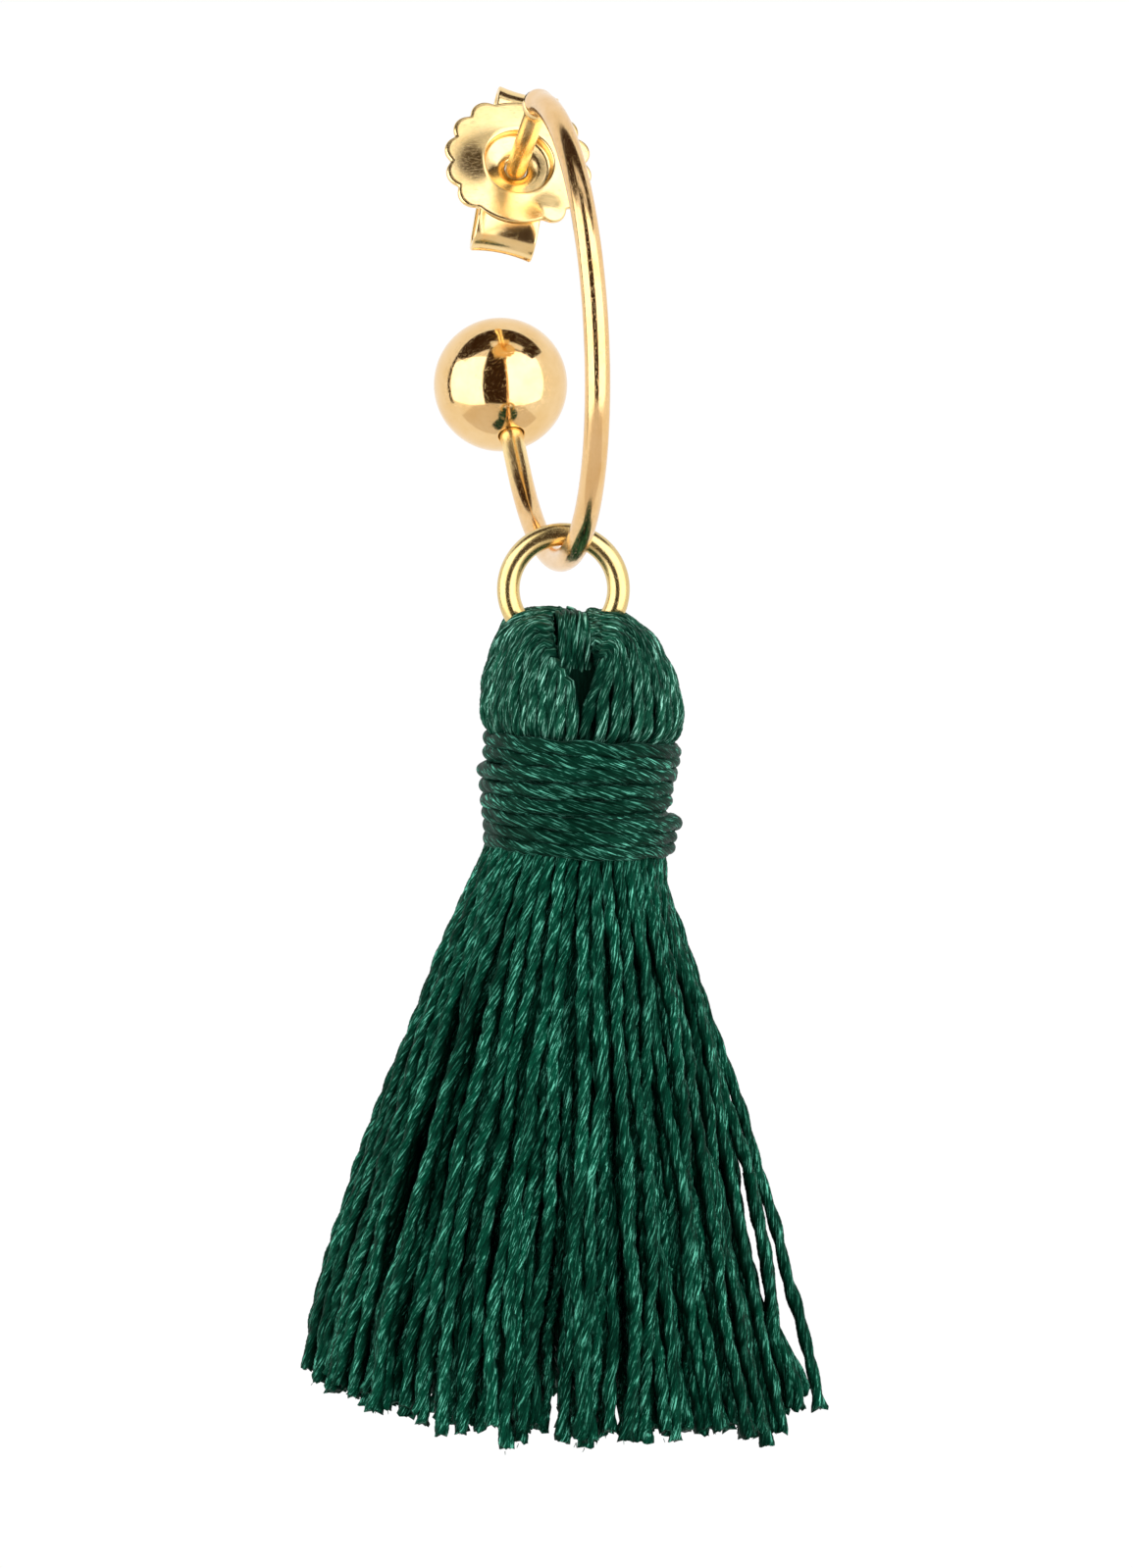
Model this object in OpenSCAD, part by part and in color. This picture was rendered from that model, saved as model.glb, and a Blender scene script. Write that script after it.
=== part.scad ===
// Tassel earring: a wire hoop with a bead on its end and an ear post soldered to its start, the scroll nut
// on the post, a jump ring on the hoop, and a thread tassel looped over the ring and wound at its neck.
// Millimetres, +Z up, hanging from the ear. The front of the earring looks towards -Y.
// The origin is the piercing: on the post's axis, midway between the wire's end and the nut's face.

/* [Hoop] */
// Radius of the hoop, to the middle of its wire
hoop_r = 6.5; // [5.5:0.25:9]
// Diameter of the hoop's wire
hoop_wire_d = 0.7; // [0.5:0.05:0.9]
// Degrees that the soldered end of the wire stands forward of the hoop's top
hoop_start = 5; // [0:1:10]
// Degrees that the wire turns through before its straight end
hoop_sweep = 227; // [215:1:232]
// Straight end of the wire, from the curve to the middle of the bead
tail_l = 3.4; // [3:0.1:4.5]
// Degrees that the hoop leans sideways as it hangs
hoop_lean = 3.3; // [0:0.1:6]

/* [Post] */
// Diameter of the ear post
post_d = 0.6; // [0.5:0.05:0.8]
// Length of the ear post, from the wire's middle to its tip
post_l = 8.5; // [7.5:0.25:10]
// Degrees that the post slopes down towards the back
post_slope = 24; // [15:1:30]
// Room for the ear lobe, from the wire's middle to the nut's face
lobe_room = 3.5; // [2.5:0.25:4.5]
// How far the solder bead stands proud of the hoop's wire
solder_proud = 0.06; // [0.03:0.01:0.12]
// Distance from the post's tip to the middle of its grip groove
groove_at = 1.2; // [0.8:0.1:1.6]
// Width of the grip groove
groove_w = 0.3; // [0.2:0.05:0.4]
// Depth of the grip groove
groove_depth = 0.06; // [0.03:0.01:0.08]

/* [Bead] */
// Diameter of the bead
bead_d = 4; // [3:0.25:4.5]
// Clearance round the wire in the bead's drilled hole
bead_fit = 0.02; // [0.01:0.01:0.05]
// How far the drilled hole runs on past the wire's end
bead_hole_past = 0.2; // [0.1:0.05:0.5]

/* [Ear nut] */
// Diameter of the nut's disc over its scallops
nut_d = 4.35; // [4:0.05:5]
// Thickness of the nut's sheet
nut_t = 0.2; // [0.15:0.05:0.25]
// Diameter of one scallop on the disc's edge
scallop_d = 0.85; // [0.6:0.05:1]
// Number of scallops on each side of the disc
scallop_n = 5; // [3:1:6]
// Degrees from one scallop to the next
scallop_step = 24; // [20:1:25]
// Diameter of the pressed dimple round the hole
dimple_d = 2; // [1.8:0.05:2.2]
// Depth of the pressed dimple
dimple_depth = 0.35; // [0.25:0.05:0.45]
// Diameter of the mouth of the funnel that leads to the hole
funnel_d = 1.4; // [1.2:0.05:1.6]
// Length of the collar behind the dimple
collar_l = 0.3; // [0.2:0.05:0.4]
// Clearance round the post in the nut's hole
nut_fit = 0.03; // [0.02:0.01:0.06]
// Width of the two scroll strips
scroll_w = 1.8; // [1.4:0.1:2.2]
// Outer diameter of a scroll's outer roll
scroll_d = 1.5; // [1.4:0.05:1.7]
// How far a scroll reaches from the post's axis
scroll_reach = 2.65; // [2.5:0.05:2.9]
// Outer diameter of the small curl that grips the post
curl_d = 0.8; // [0.7:0.05:0.9]
// Degrees that the small curl turns
curl_sweep = 130; // [100:5:150]
// Clearance between the small curl and the post
grip_gap = 0.04; // [0.02:0.01:0.08]
// Degrees that the nut is turned on the post
nut_turn = 16; // [0:1:45]

/* [Jump ring] */
// Outer diameter of the jump ring
ring_d = 3.8; // [3.6:0.1:5]
// Diameter of the jump ring's wire
ring_wire_d = 0.65; // [0.5:0.05:0.7]
// Clearance between the jump ring and the hoop it hangs on
link_gap = 0.04; // [0.02:0.01:0.1]
// Degrees that the jump ring hangs forward of the hoop's lowest point
ring_forward = 4; // [0:1:10]
// Degrees that the jump ring faces to the left of straight ahead
ring_turn = 12; // [0:1:25]
// Degrees that the top of the jump ring tips back
ring_tip = 6; // [0:1:15]

/* [Tassel] */
// Width of the tassel's head
head_w = 5.9; // [5.2:0.1:7]
// Depth of the tassel's head, front to back
head_depth = 5; // [4.6:0.1:6]
// Height of the tassel's head, from its top to the binding
head_h = 3.6; // [3.2:0.1:4.5]
// Thickness of the threads where they loop over the jump ring
loop_t = 0.67; // [0.5:0.01:0.9]
// How far the head is pushed to the right of the jump ring
head_shift = 0.6; // [0:0.05:0.8]
// Degrees that the tassel's foot swings to the left of its head
tassel_lean = 1.9; // [0:0.1:4]
// Length of the threads below the binding
skirt_l = 16.9; // [12:0.1:24]
// Width of the skirt at its hem
skirt_w = 14.4; // [10:0.1:18]
// Depth of the skirt at its hem, front to back
skirt_depth = 10.5; // [8:0.1:14]
// Clearance between the threads and the jump ring that runs through them
ring_channel = 0.08; // [0.06:0.01:0.12]
// Thickness of a strand of the head
strand_d = 0.9; // [0.7:0.05:1.1]
// Number of strands that loop over the head
strand_n = 12; // [8:2:14]
// Degrees from straight ahead to the strands on each side of the head's parting
parting = 10; // [6:1:14]
// Thickness of a lock of the skirt at its hem
lock_d = 1.9; // [1.5:0.1:2.4]
// Number of locks round the skirt
lock_n = 28; // [24:2:32]
// Number of locks inside the skirt
inner_n = 12; // [8:1:16]
// Most that a lock is shorter than its neighbours
lock_uneven = 0.8; // [0:0.1:1.5]
// How much higher the hem is at the skirt's sides
hem_rise = 1.5; // [0:0.1:3]
// Most degrees that a lock strays round the skirt on its way to the hem
lock_sway = 4; // [0:0.5:6]

/* [Binding] */
// Outer diameter of the wound binding
binding_d = 5.6; // [5.2:0.1:6]
// Height of the binding
binding_h = 3.3; // [2.5:0.1:4]
// Thickness of the binding's thread
thread_d = 0.45; // [0.35:0.05:0.5]
// Number of turns in the binding
turn_n = 8; // [6:1:9]
// Clearance between the binding and the threads that it holds
binding_gap = 0.04; // [0.03:0.01:0.1]

/* [Hidden] */
$fn = 64;
gold = "goldenrod";
pale_gold = "khaki";
green = "darkgreen";
cut = 0.1; // how far a cutting tool runs past what it cuts
leaf = 0.02; // thickness of a section between which a form is lofted
seam = 0.005; // the straight end is this much thinner, so that it leaves the curve's end on a clean face
sunk = 0.05; // how far the straight end starts inside the curve
side_turn = 80; // degrees from straight ahead to the outermost strands of the head
inner_share = 0.55; // how far out the inner locks lie

hoop_wire_r = hoop_wire_d / 2;
post_r = post_d / 2;
bead_r = bead_d / 2;
ring_wire_r = ring_wire_d / 2;
ring_r = ring_d / 2 - ring_wire_r;

// Places in the hoop's plane, [across, back, up] from the piercing
post_way = [0, cos(post_slope), -sin(post_slope)];
wire_end = -post_way * lobe_room / 2;
hoop_c = wire_end + hoop_r * [0, sin(hoop_start), -cos(hoop_start)];
start_angle = 90 + hoop_start;
tail_angle = start_angle + hoop_sweep;
tail_foot = hoop_c + hoop_r * [0, cos(tail_angle), sin(tail_angle)];
tail_way = [0, -sin(tail_angle), cos(tail_angle)];
bead_c = tail_foot + tail_l * tail_way;
seat_angle = 270 - ring_forward;
seat = hoop_c + hoop_r * [0, cos(seat_angle), sin(seat_angle)];

// The drop hangs from the middle of the hoop's wire at the seat
pivot = [-seat[2] * sin(hoop_lean), seat[1], seat[2] * cos(hoop_lean)];
ring_hang = ring_r - hoop_wire_r - ring_wire_r - link_gap;
ring_foot = ring_hang + ring_r - ring_wire_r;
head_top = pivot + [head_shift, -ring_foot * sin(ring_tip), -(ring_foot - loop_t)];
hem_top = head_h + binding_h;
neck_r = binding_d / 2 - thread_d - binding_gap;

// The head from its top down to the binding: share of head_h, of half head_w, of half head_depth
HEAD = [
    [0.00, 0.36, 0.16],
    [0.07, 0.58, 0.46],
    [0.18, 0.76, 0.68],
    [0.36, 0.89, 0.84],
    [0.62, 0.98, 0.96],
    [0.82, 1.00, 1.00],
    [1.00, 0.95, 0.97]
];
// The skirt from the binding down to the hem: share of skirt_l, how far the form has opened from the neck's
// section to the hem's, share of lock_d
SKIRT = [
    [0.00, 0.03, 0.46],
    [0.06, 0.10, 0.50],
    [0.20, 0.29, 0.62],
    [0.40, 0.51, 0.78],
    [0.60, 0.72, 0.92],
    [0.80, 0.90, 1.00],
    [0.97, 0.99, 0.94],
    [1.00, 1.00, 0.70]
];

function mix(a, b, share) = a + (b - a) * share;
function skirt_section(row) = [
    mix(neck_r, skirt_w / 2, row[1]),
    mix(neck_r, skirt_depth / 2, row[1]),
    -row[0] * skirt_l
];

module hoop_plane() {
    rotate([0, -hoop_lean, 0]) children();
}

module on_post(along) {
    hoop_plane() translate(post_way * along) rotate([-90 - post_slope, 0, 0]) children();
}

module ring_place() {
    translate(pivot) rotate([0, 0, -ring_turn]) rotate([ring_tip, 0, 0])
        translate([0, 0, -ring_hang]) rotate([90, 0, 0]) children();
}

module tassel_place() {
    translate(head_top) rotate([0, tassel_lean, 0]) children();
}

module wire_arc(bend_r, wire_r, from, sweep) {
    rotate([90, 0, 90]) rotate([0, 0, from])
        rotate_extrude(angle = sweep) translate([bend_r, 0]) circle(r = wire_r);
}

module tail(past, r) {
    translate(tail_foot) rotate([tail_angle, 0, 0]) translate([0, 0, -sunk])
        cylinder(h = sunk + tail_l + past, r = r);
}

module ear_post() {
    groove_from = post_l - lobe_room / 2 - groove_at - groove_w / 2;
    on_post(-lobe_room / 2) difference() {
        union() {
            cylinder(h = post_l - post_r, r = post_r);
            translate([0, 0, post_l - post_r]) sphere(r = post_r);
        }
        translate([0, 0, groove_from + lobe_room / 2]) difference() {
            cylinder(h = groove_w, r = post_r + cut);
            translate([0, 0, -cut]) cylinder(h = groove_w + 2 * cut, r = post_r - groove_depth);
        }
    }
}

module ear_hoop() color(gold) {
    ear_post();
    hoop_plane() {
        translate(wire_end) sphere(r = hoop_wire_r + solder_proud);
        translate(hoop_c) wire_arc(hoop_r, hoop_wire_r, start_angle, hoop_sweep);
        tail(0, hoop_wire_r - seam);
    }
}

module end_bead() color(gold) {
    hoop_plane() difference() {
        translate(bead_c) sphere(r = bead_r);
        tail(bead_hole_past, hoop_wire_r + bead_fit);
    }
}

module disc_outline() {
    edge_r = nut_d / 2 - scallop_d / 2;
    circle(r = edge_r + scallop_d / 4);
    for (side = [0, 180], k = [0 : scallop_n - 1]) {
        rotate(side + (k - (scallop_n - 1) / 2) * scallop_step) translate([edge_r, 0]) circle(d = scallop_d);
    }
}

module nut_dimple() {
    floor_z = dimple_depth + nut_t;
    bore_r = post_r + nut_fit;
    difference() {
        union() {
            cylinder(h = floor_z, r = dimple_d / 2 + nut_t);
            cylinder(h = floor_z + collar_l, r = bore_r + nut_t);
        }
        translate([0, 0, -cut]) cylinder(h = dimple_depth + cut, r = dimple_d / 2);
        translate([0, 0, dimple_depth - cut]) cylinder(h = cut + leaf, r = funnel_d / 2);
        translate([0, 0, dimple_depth]) cylinder(h = nut_t, r1 = funnel_d / 2, r2 = bore_r);
        translate([0, 0, -cut]) cylinder(h = floor_z + collar_l + 2 * cut, r = bore_r);
    }
}

module strip_bend(outer_r, from, sweep) {
    rotate([90, 0, 90]) rotate([0, 0, from]) rotate_extrude(angle = sweep)
        translate([outer_r - nut_t, -scroll_w / 2]) square([nut_t, scroll_w]);
}

module strip_run(from, to, z) {
    translate([-scroll_w / 2, from, z]) cube([scroll_w, to - from, nut_t]);
}

module scroll() {
    roll_r = scroll_d / 2;
    curl_r = curl_d / 2;
    roll_y = scroll_reach - roll_r;
    curl_y = post_r + grip_gap + curl_r;
    strip_run(dimple_d / 2 + nut_t / 2, roll_y, 0);
    translate([0, roll_y, roll_r]) strip_bend(roll_r, -90, 180);
    strip_run(curl_y, roll_y, scroll_d - nut_t);
    translate([0, curl_y, scroll_d - curl_r]) strip_bend(curl_r, 90, curl_sweep);
}

module ear_nut() color(gold) {
    on_post(lobe_room / 2) rotate([0, 0, nut_turn]) {
        linear_extrude(nut_t) difference() {
            disc_outline();
            circle(d = dimple_d);
        }
        nut_dimple();
        scroll();
        rotate([0, 0, 180]) scroll();
    }
}

module jump_ring() color(pale_gold) {
    ring_place() rotate_extrude() translate([ring_r, 0]) circle(r = ring_wire_r);
}

module slice(half_w, half_d, z) {
    translate([0, 0, z]) scale([half_w, half_d, 1]) cylinder(h = leaf, r = 1, $fn = 28);
}

// One strand of the head: it climbs from the binding at the front, passes over the ring and comes down
// at the back. turn is where it meets the binding, in degrees from straight ahead.
module head_strand(turn) {
    r = strand_d / 2;
    points = [for (back = [0, 1], k = [1 : len(HEAD) - 1])
        let (row = HEAD[back == 0 ? len(HEAD) - k : k])
        [
            sin(turn) * (row[1] * head_w / 2 - r),
            (back * 2 - 1) * cos(turn) * (row[2] * head_depth / 2 - r),
            -row[0] * (head_h - r) - r
        ]
    ];
    for (k = [0 : len(points) - 2]) hull() {
        translate(points[k]) sphere(r = r, $fn = 6);
        translate(points[k + 1]) sphere(r = r, $fn = 6);
    }
}

module head_core() {
    for (k = [1 : len(HEAD) - 2]) hull() for (row = [HEAD[k], HEAD[k + 1]]) {
        slice(
            row[1] * head_w / 2 - strand_d / 2,
            row[2] * head_depth / 2 - strand_d / 2,
            -row[0] * (head_h - strand_d / 2) - strand_d / 2
        );
    }
}

// Where a lock of the skirt lies at one row of SKIRT: [across, back, up, thickness]
function lock_point(turn, share, l, sway, row) = let (
    s = skirt_section(row),
    d = row[2] * lock_d,
    at = turn + sway * row[0]
) [
    sin(at) * (s[0] - d / 2) * share,
    -cos(at) * (s[1] - d / 2) * share,
    -row[0] * l,
    d
];

module lock(turn, share, seed) {
    stray = rands(-1, 1, 2, seed);
    l = skirt_l - hem_rise * pow(share * sin(turn), 2) - lock_uneven * abs(stray[0]);
    points = [for (row = SKIRT) lock_point(turn, share, l, lock_sway * stray[1], row)];
    for (k = [0 : len(points) - 2]) hull() for (p = [points[k], points[k + 1]]) {
        translate([p[0], p[1], p[2]]) cylinder(h = leaf, d = p[3], $fn = 8);
    }
}

module skirt_core() {
    rows = [for (row = SKIRT) if (row[0] < 0.9) row];
    for (k = [0 : len(rows) - 2]) hull() for (row = [rows[k], rows[k + 1]]) {
        s = skirt_section(row);
        slice(s[0] - row[2] * lock_d / 2, s[1] - row[2] * lock_d / 2, s[2]);
    }
}

module skirt() {
    skirt_core();
    for (k = [0 : lock_n - 1]) lock(360 * k / lock_n, 1, k);
    for (k = [0 : inner_n - 1]) lock(360 * k / inner_n, inner_share, lock_n + k);
}

module tassel_head() {
    half_n = strand_n / 2;
    for (side = [-1, 1], k = [0 : half_n - 1]) {
        head_strand(side * mix(parting, side_turn, k / (half_n - 1)));
    }
    head_core();
}

module tassel() color(green) difference() {
    tassel_place() {
        tassel_head();
        translate([0, 0, -hem_top - strand_d]) cylinder(h = hem_top - head_h / 2, r = neck_r, $fn = 48);
        translate([0, 0, -hem_top - binding_gap]) skirt();
    }
    ring_place() rotate_extrude($fn = 32) translate([ring_r, 0]) circle(r = ring_wire_r + ring_channel, $fn = 10);
}

module tassel_binding() color(green) {
    pitch = (binding_h - thread_d) / (turn_n - 1);
    inner_r = neck_r + binding_gap;
    tassel_place() translate([0, 0, -hem_top]) rotate_extrude() {
        translate([inner_r, thread_d / 2]) square([thread_d / 2, binding_h - thread_d]);
        for (k = [0 : turn_n - 1]) {
            translate([inner_r + thread_d / 2, thread_d / 2 + k * pitch]) circle(d = thread_d);
        }
    }
}

ear_hoop();
end_bead();
ear_nut();
jump_ring();
tassel();
tassel_binding();
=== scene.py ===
"""A thread tassel hung by a jump ring from a wire hoop with an ear post, a bead and a scroll nut.

Every length here is in millimetres until a mesh is made, where MM turns it into metres. The earring's own
frame has +Z up as it hangs, its front towards -Y, and its origin at the piercing, on the ear post. Tables
of numbers are read as smooth curves by curve_rows. The parting's edges and the stray threads are given as
they are seen from VIEW_AZIMUTH, in degrees from the front.
"""

import logging
import math
from collections.abc import Sequence
from dataclasses import dataclass, replace
from enum import Enum

import bpy
import numpy as np
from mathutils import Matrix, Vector


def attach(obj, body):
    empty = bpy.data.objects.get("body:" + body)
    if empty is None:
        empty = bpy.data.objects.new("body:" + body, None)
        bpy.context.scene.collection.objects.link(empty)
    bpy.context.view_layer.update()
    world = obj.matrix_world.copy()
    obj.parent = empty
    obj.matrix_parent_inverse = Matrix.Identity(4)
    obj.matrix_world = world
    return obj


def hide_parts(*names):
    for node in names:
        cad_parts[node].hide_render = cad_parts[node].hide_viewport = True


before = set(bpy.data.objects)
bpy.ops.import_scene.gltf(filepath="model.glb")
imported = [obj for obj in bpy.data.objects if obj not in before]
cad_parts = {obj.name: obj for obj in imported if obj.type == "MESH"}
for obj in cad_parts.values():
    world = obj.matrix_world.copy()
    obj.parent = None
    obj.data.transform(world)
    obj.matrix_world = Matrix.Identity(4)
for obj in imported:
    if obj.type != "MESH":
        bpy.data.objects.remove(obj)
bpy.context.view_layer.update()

Array = np.ndarray
Rng = np.random.Generator
Material = bpy.types.Material
Colour = tuple[float, float, float, float]
Stretch = tuple[float, float, float]
Rows = Sequence[Sequence[float]]
Span = tuple[float, float]
MM = 0.001
TAU = 2 * math.pi
LAY = "lay"
# The attribute that holds each thread point's painted shade, darker in the plies' valleys and on the flanks.
PAINTED_SHADE_ATTR = "ridge"
VIEW_AZIMUTH = -12.0

# The radius, in millimetres, at which a finish's pattern is laid round a wire.
WIRE_LAY = 0.8

log = logging.getLogger("tassel_earring")


class Body(Enum):
    """The three bodies of the earring."""

    HOOP = "hoop"
    NUT = "nut"
    DROP = "drop"


class Slot(Enum):
    """The record's material slots."""

    GOLD = "gold"
    PALE_GOLD = "pale_gold"
    THREAD = "thread"


class Axis(Enum):
    """The axes of a frame, by their place in a point."""

    X = 0
    Y = 1
    Z = 2


class Side(Enum):
    """The two sides of the head, by the sign of X."""

    LEFT = -1
    RIGHT = 1


class Half(Enum):
    """The two halves of the head, by the way that they face."""

    FRONT = 1
    BACK = -1


class SkirtPart(Enum):
    """The parts of the skirt, each a mesh of its own."""

    FRONT_LEFT = "front_left"
    FRONT_RIGHT = "front_right"
    BACK_RIGHT = "back_right"
    BACK_LEFT = "back_left"
    INSIDE = "inside"


def unit(v: Array) -> Array:
    """Scales each vector along the last axis to length one."""
    return v / np.maximum(np.linalg.norm(v, axis=-1, keepdims=True), 1e-9)


def across(v: Array, way: Array) -> Array:
    """Takes out of each vector its part along the unit vector way, at length one."""
    return unit(v - (v * way).sum(-1, keepdims=True) * way)


def ease(x: Array | float) -> Array:
    """Runs smoothly from 0 to 1 while x runs from 0 to 1, and stays level outside."""
    x = np.clip(x, 0, 1)
    return x * x * (3 - 2 * x)


def seen_at(seen: Array | float, y: Array | float) -> Array:
    """The place along X of a point seen so far to the right, from its place along Y."""
    view = math.radians(VIEW_AZIMUTH)
    return (seen - y * math.sin(view)) / math.cos(view)


def about(axis: Axis, degrees: float) -> Array:
    """The matrix that turns by that many degrees about an axis."""
    c, s = math.cos(math.radians(degrees)), math.sin(math.radians(degrees))
    return np.roll([[1, 0, 0], [0, c, -s], [0, s, c]], axis.value, (0, 1))


def full_turn(n: int) -> Array:
    """So many angles, evenly spaced round a full turn, in radians."""
    return TAU * np.arange(n) / n


def ring_of(sides: int) -> Array:
    """The corners of a round section, each its share across and up."""
    a = full_turn(sides)
    return np.stack([np.cos(a), np.sin(a)], 1)


def run_along(path: Array) -> Array:
    """The distance of each point of a path from its start."""
    return np.concatenate([[0], np.cumsum(np.linalg.norm(np.diff(path, axis=0), axis=1))])


def curve_rows(rows: Rows | Array, at: Array) -> Array:
    """Reads a table as smooth curves through its rows.

    Args:
        rows: Rows whose first number rises, followed by the values there.
        at: Where to read, in the first column's numbers.

    Returns:
        One row of values for each place.
    """
    table = np.array(rows, float)
    x, y = table[:, 0], table[:, 1:]
    slope = np.gradient(y, x, axis=0)
    at = np.clip(at, x[0], x[-1])
    k = np.clip(np.searchsorted(x, at, side="right") - 1, 0, len(x) - 2)
    width = (x[k + 1] - x[k])[:, None]
    t = ((at - x[k]) / (x[k + 1] - x[k]))[:, None]
    return (
        (2 * t**3 - 3 * t**2 + 1) * y[k]
        + (t**3 - 2 * t**2 + t) * width * slope[k]
        + (3 * t**2 - 2 * t**3) * y[k + 1]
        + (t**3 - t**2) * width * slope[k + 1]
    )


def resample(
    path: Array, also: Array, step: float, longest: float = math.inf
) -> tuple[Array, Array, Array]:
    """Spaces the points of a path evenly along its length.

    Args:
        path: Points close enough together to draw the path.
        also: Vectors that belong to the points and are carried along.
        step: Distance from one new point to the next.
        longest: Where the path is cut off.

    Returns:
        The new points, their vectors, and each one's distance from the start.
    """
    run = run_along(path)
    end = min(run[-1], longest)
    s = np.linspace(0, end, max(4, round(end / step) + 1))
    points, carried = (np.stack([np.interp(s, run, v[:, k]) for k in range(3)], 1) for v in (path, also))
    return points, carried, s


def sweep(path: Array, up: Array, section: Array, scale: Array | float = 1.0) -> Array:
    """Carries a section along a path.

    Args:
        path: Points of the path.
        up: A vector, or one at each point, that the section's first axis leans to.
        section: The section's corners.
        scale: The section's size, at each point or everywhere.

    Returns:
        Rings of points, one for each point of the path.
    """
    way = unit(np.gradient(path, axis=0))
    first = across(up, way)
    second = np.cross(way, first)
    size = (np.ones(len(path)) * scale)[:, None, None]
    a, b = section[None, :, :1], section[None, :, 1:]
    return path[:, None] + size * (a * first[:, None] + b * second[:, None])


def put(name: str, data: bpy.types.ID) -> bpy.types.Object:
    """Makes an object and links it into the scene.

    Args:
        name: Its name.
        data: Its mesh, camera or light.

    Returns:
        The object.
    """
    made = bpy.data.objects.new(name, data)
    bpy.context.scene.collection.objects.link(made)
    return made


@dataclass(frozen=True)
class Layout:
    """Where the pieces of the earring lie, worked out from its driving sizes."""

    hoop_r: float = 6.5
    wire_r: float = 0.35
    hoop_start: float = 5
    hoop_sweep: float = 227
    tail_l: float = 3.4
    hoop_lean: float = 3.3
    post_r: float = 0.3
    post_l: float = 8.5
    post_slope: float = 24
    lobe_room: float = 3.5
    bead_r: float = 2
    nut_turn: float = 16
    ring_r: float = 1.575
    ring_wire_r: float = 0.325
    link_gap: float = 0.04
    ring_forward: float = 4
    ring_turn: float = 12
    ring_tip: float = 6
    loop_t: float = 0.67
    head_shift: float = 0.6
    head_h: float = 3.6
    binding_h: float = 3.3
    tassel_lean: float = 1.9
    push_span: int = 9

    @property
    def leaning(self) -> Array:
        """The matrix that leans the hoop's plane."""
        return about(Axis.Y, -self.hoop_lean)

    @property
    def post_way(self) -> Array:
        """The post's direction in the hoop's plane."""
        slope = math.radians(self.post_slope)
        return np.array([0, math.cos(slope), -math.sin(slope)])

    @property
    def wire_end(self) -> Array:
        """The soldered end of the wire, in the hoop's plane."""
        return -self.post_way * self.lobe_room / 2

    @property
    def hoop_c(self) -> Array:
        """The hoop's middle, in its plane."""
        lean = math.radians(self.hoop_start)
        return self.wire_end + self.hoop_r * np.array([0, math.sin(lean), -math.cos(lean)])

    def on_hoop(self, degrees: Array | float) -> Array:
        """Points of the hoop's wire in its plane, at angles from the back through the top."""
        a = np.radians(np.atleast_1d(degrees))
        return self.hoop_c + self.hoop_r * np.stack([0 * a, np.cos(a), np.sin(a)], 1)

    @property
    def tail_angle(self) -> float:
        """The angle at which the wire's straight end begins."""
        return 90 + self.hoop_start + self.hoop_sweep

    @property
    def tail_way(self) -> Array:
        """The direction of the wire's straight end, in the hoop's plane."""
        a = math.radians(self.tail_angle)
        return np.array([0, -math.sin(a), math.cos(a)])

    @property
    def bead_c(self) -> Array:
        """The bead's middle, in the hoop's plane."""
        return self.on_hoop(self.tail_angle)[0] + self.tail_l * self.tail_way

    @property
    def pivot(self) -> Array:
        """The middle of the hoop's wire where the jump ring hangs."""
        return self.leaning @ self.on_hoop(270 - self.ring_forward)[0]

    @property
    def ring_hang(self) -> float:
        """How far the jump ring's middle hangs below the wire that carries it."""
        return self.ring_r - self.wire_r - self.ring_wire_r - self.link_gap

    @property
    def ring_turning(self) -> Array:
        """The matrix that turns and tips the jump ring."""
        return about(Axis.Z, -self.ring_turn) @ about(Axis.X, self.ring_tip)

    @property
    def ring_c(self) -> Array:
        """The jump ring's middle."""
        return self.pivot + self.ring_turning @ np.array([0, 0, -self.ring_hang])

    @property
    def head_top(self) -> Array:
        """Works out where the tassel's own frame starts.

        Returns:
            The top of the tassel's head.
        """
        foot = self.ring_hang + self.ring_r - self.ring_wire_r
        tip = math.radians(self.ring_tip)
        return self.pivot + np.array([self.head_shift, -foot * math.sin(tip), self.loop_t - foot])

    @property
    def hem_top(self) -> float:
        """How far the skirt starts below the top of the head."""
        return self.head_h + self.binding_h

    def from_hoop(self, points: Array) -> Array:
        """Moves points from the hoop's plane into the earring's frame."""
        return points @ self.leaning.T

    def from_nut(self, points: Array) -> Array:
        """Moves points from the nut's frame, whose Z runs back along the post, into the earring's frame."""
        turning = about(Axis.X, -90 - self.post_slope) @ about(Axis.Z, self.nut_turn)
        return self.from_hoop(points @ turning.T + self.post_way * self.lobe_room / 2)

    def from_tassel(self, points: Array) -> Array:
        """Moves points from the tassel's frame into the earring's frame."""
        return points @ about(Axis.Y, self.tassel_lean).T + self.head_top

    def clear_of_ring(self, points: Array, room: float, half: Half) -> Array:
        """Pushes points out of the jump ring's wire, evened out over push_span of them.

        Args:
            points: Points in the earring's frame, in order along a thread.
            room: The least distance from the middle of the ring's wire.
            half: The half of the head whose way they are pushed.

        Returns:
            The points, moved where they were too near.
        """
        flat = (points - self.ring_c) @ self.ring_turning
        out = np.hypot(flat[:, 0], flat[:, 2]) - self.ring_r
        needed = np.sqrt(np.maximum(room**2 - out**2, 0))
        pushed = np.pad(np.maximum(needed + half.value * flat[:, 1], 0), self.push_span // 2, mode="edge")
        even = np.full(self.push_span, 1 / self.push_span)
        flat[:, 1] -= half.value * np.convolve(pushed, even, mode="valid")
        return flat @ self.ring_turning.T + self.ring_c


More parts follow.
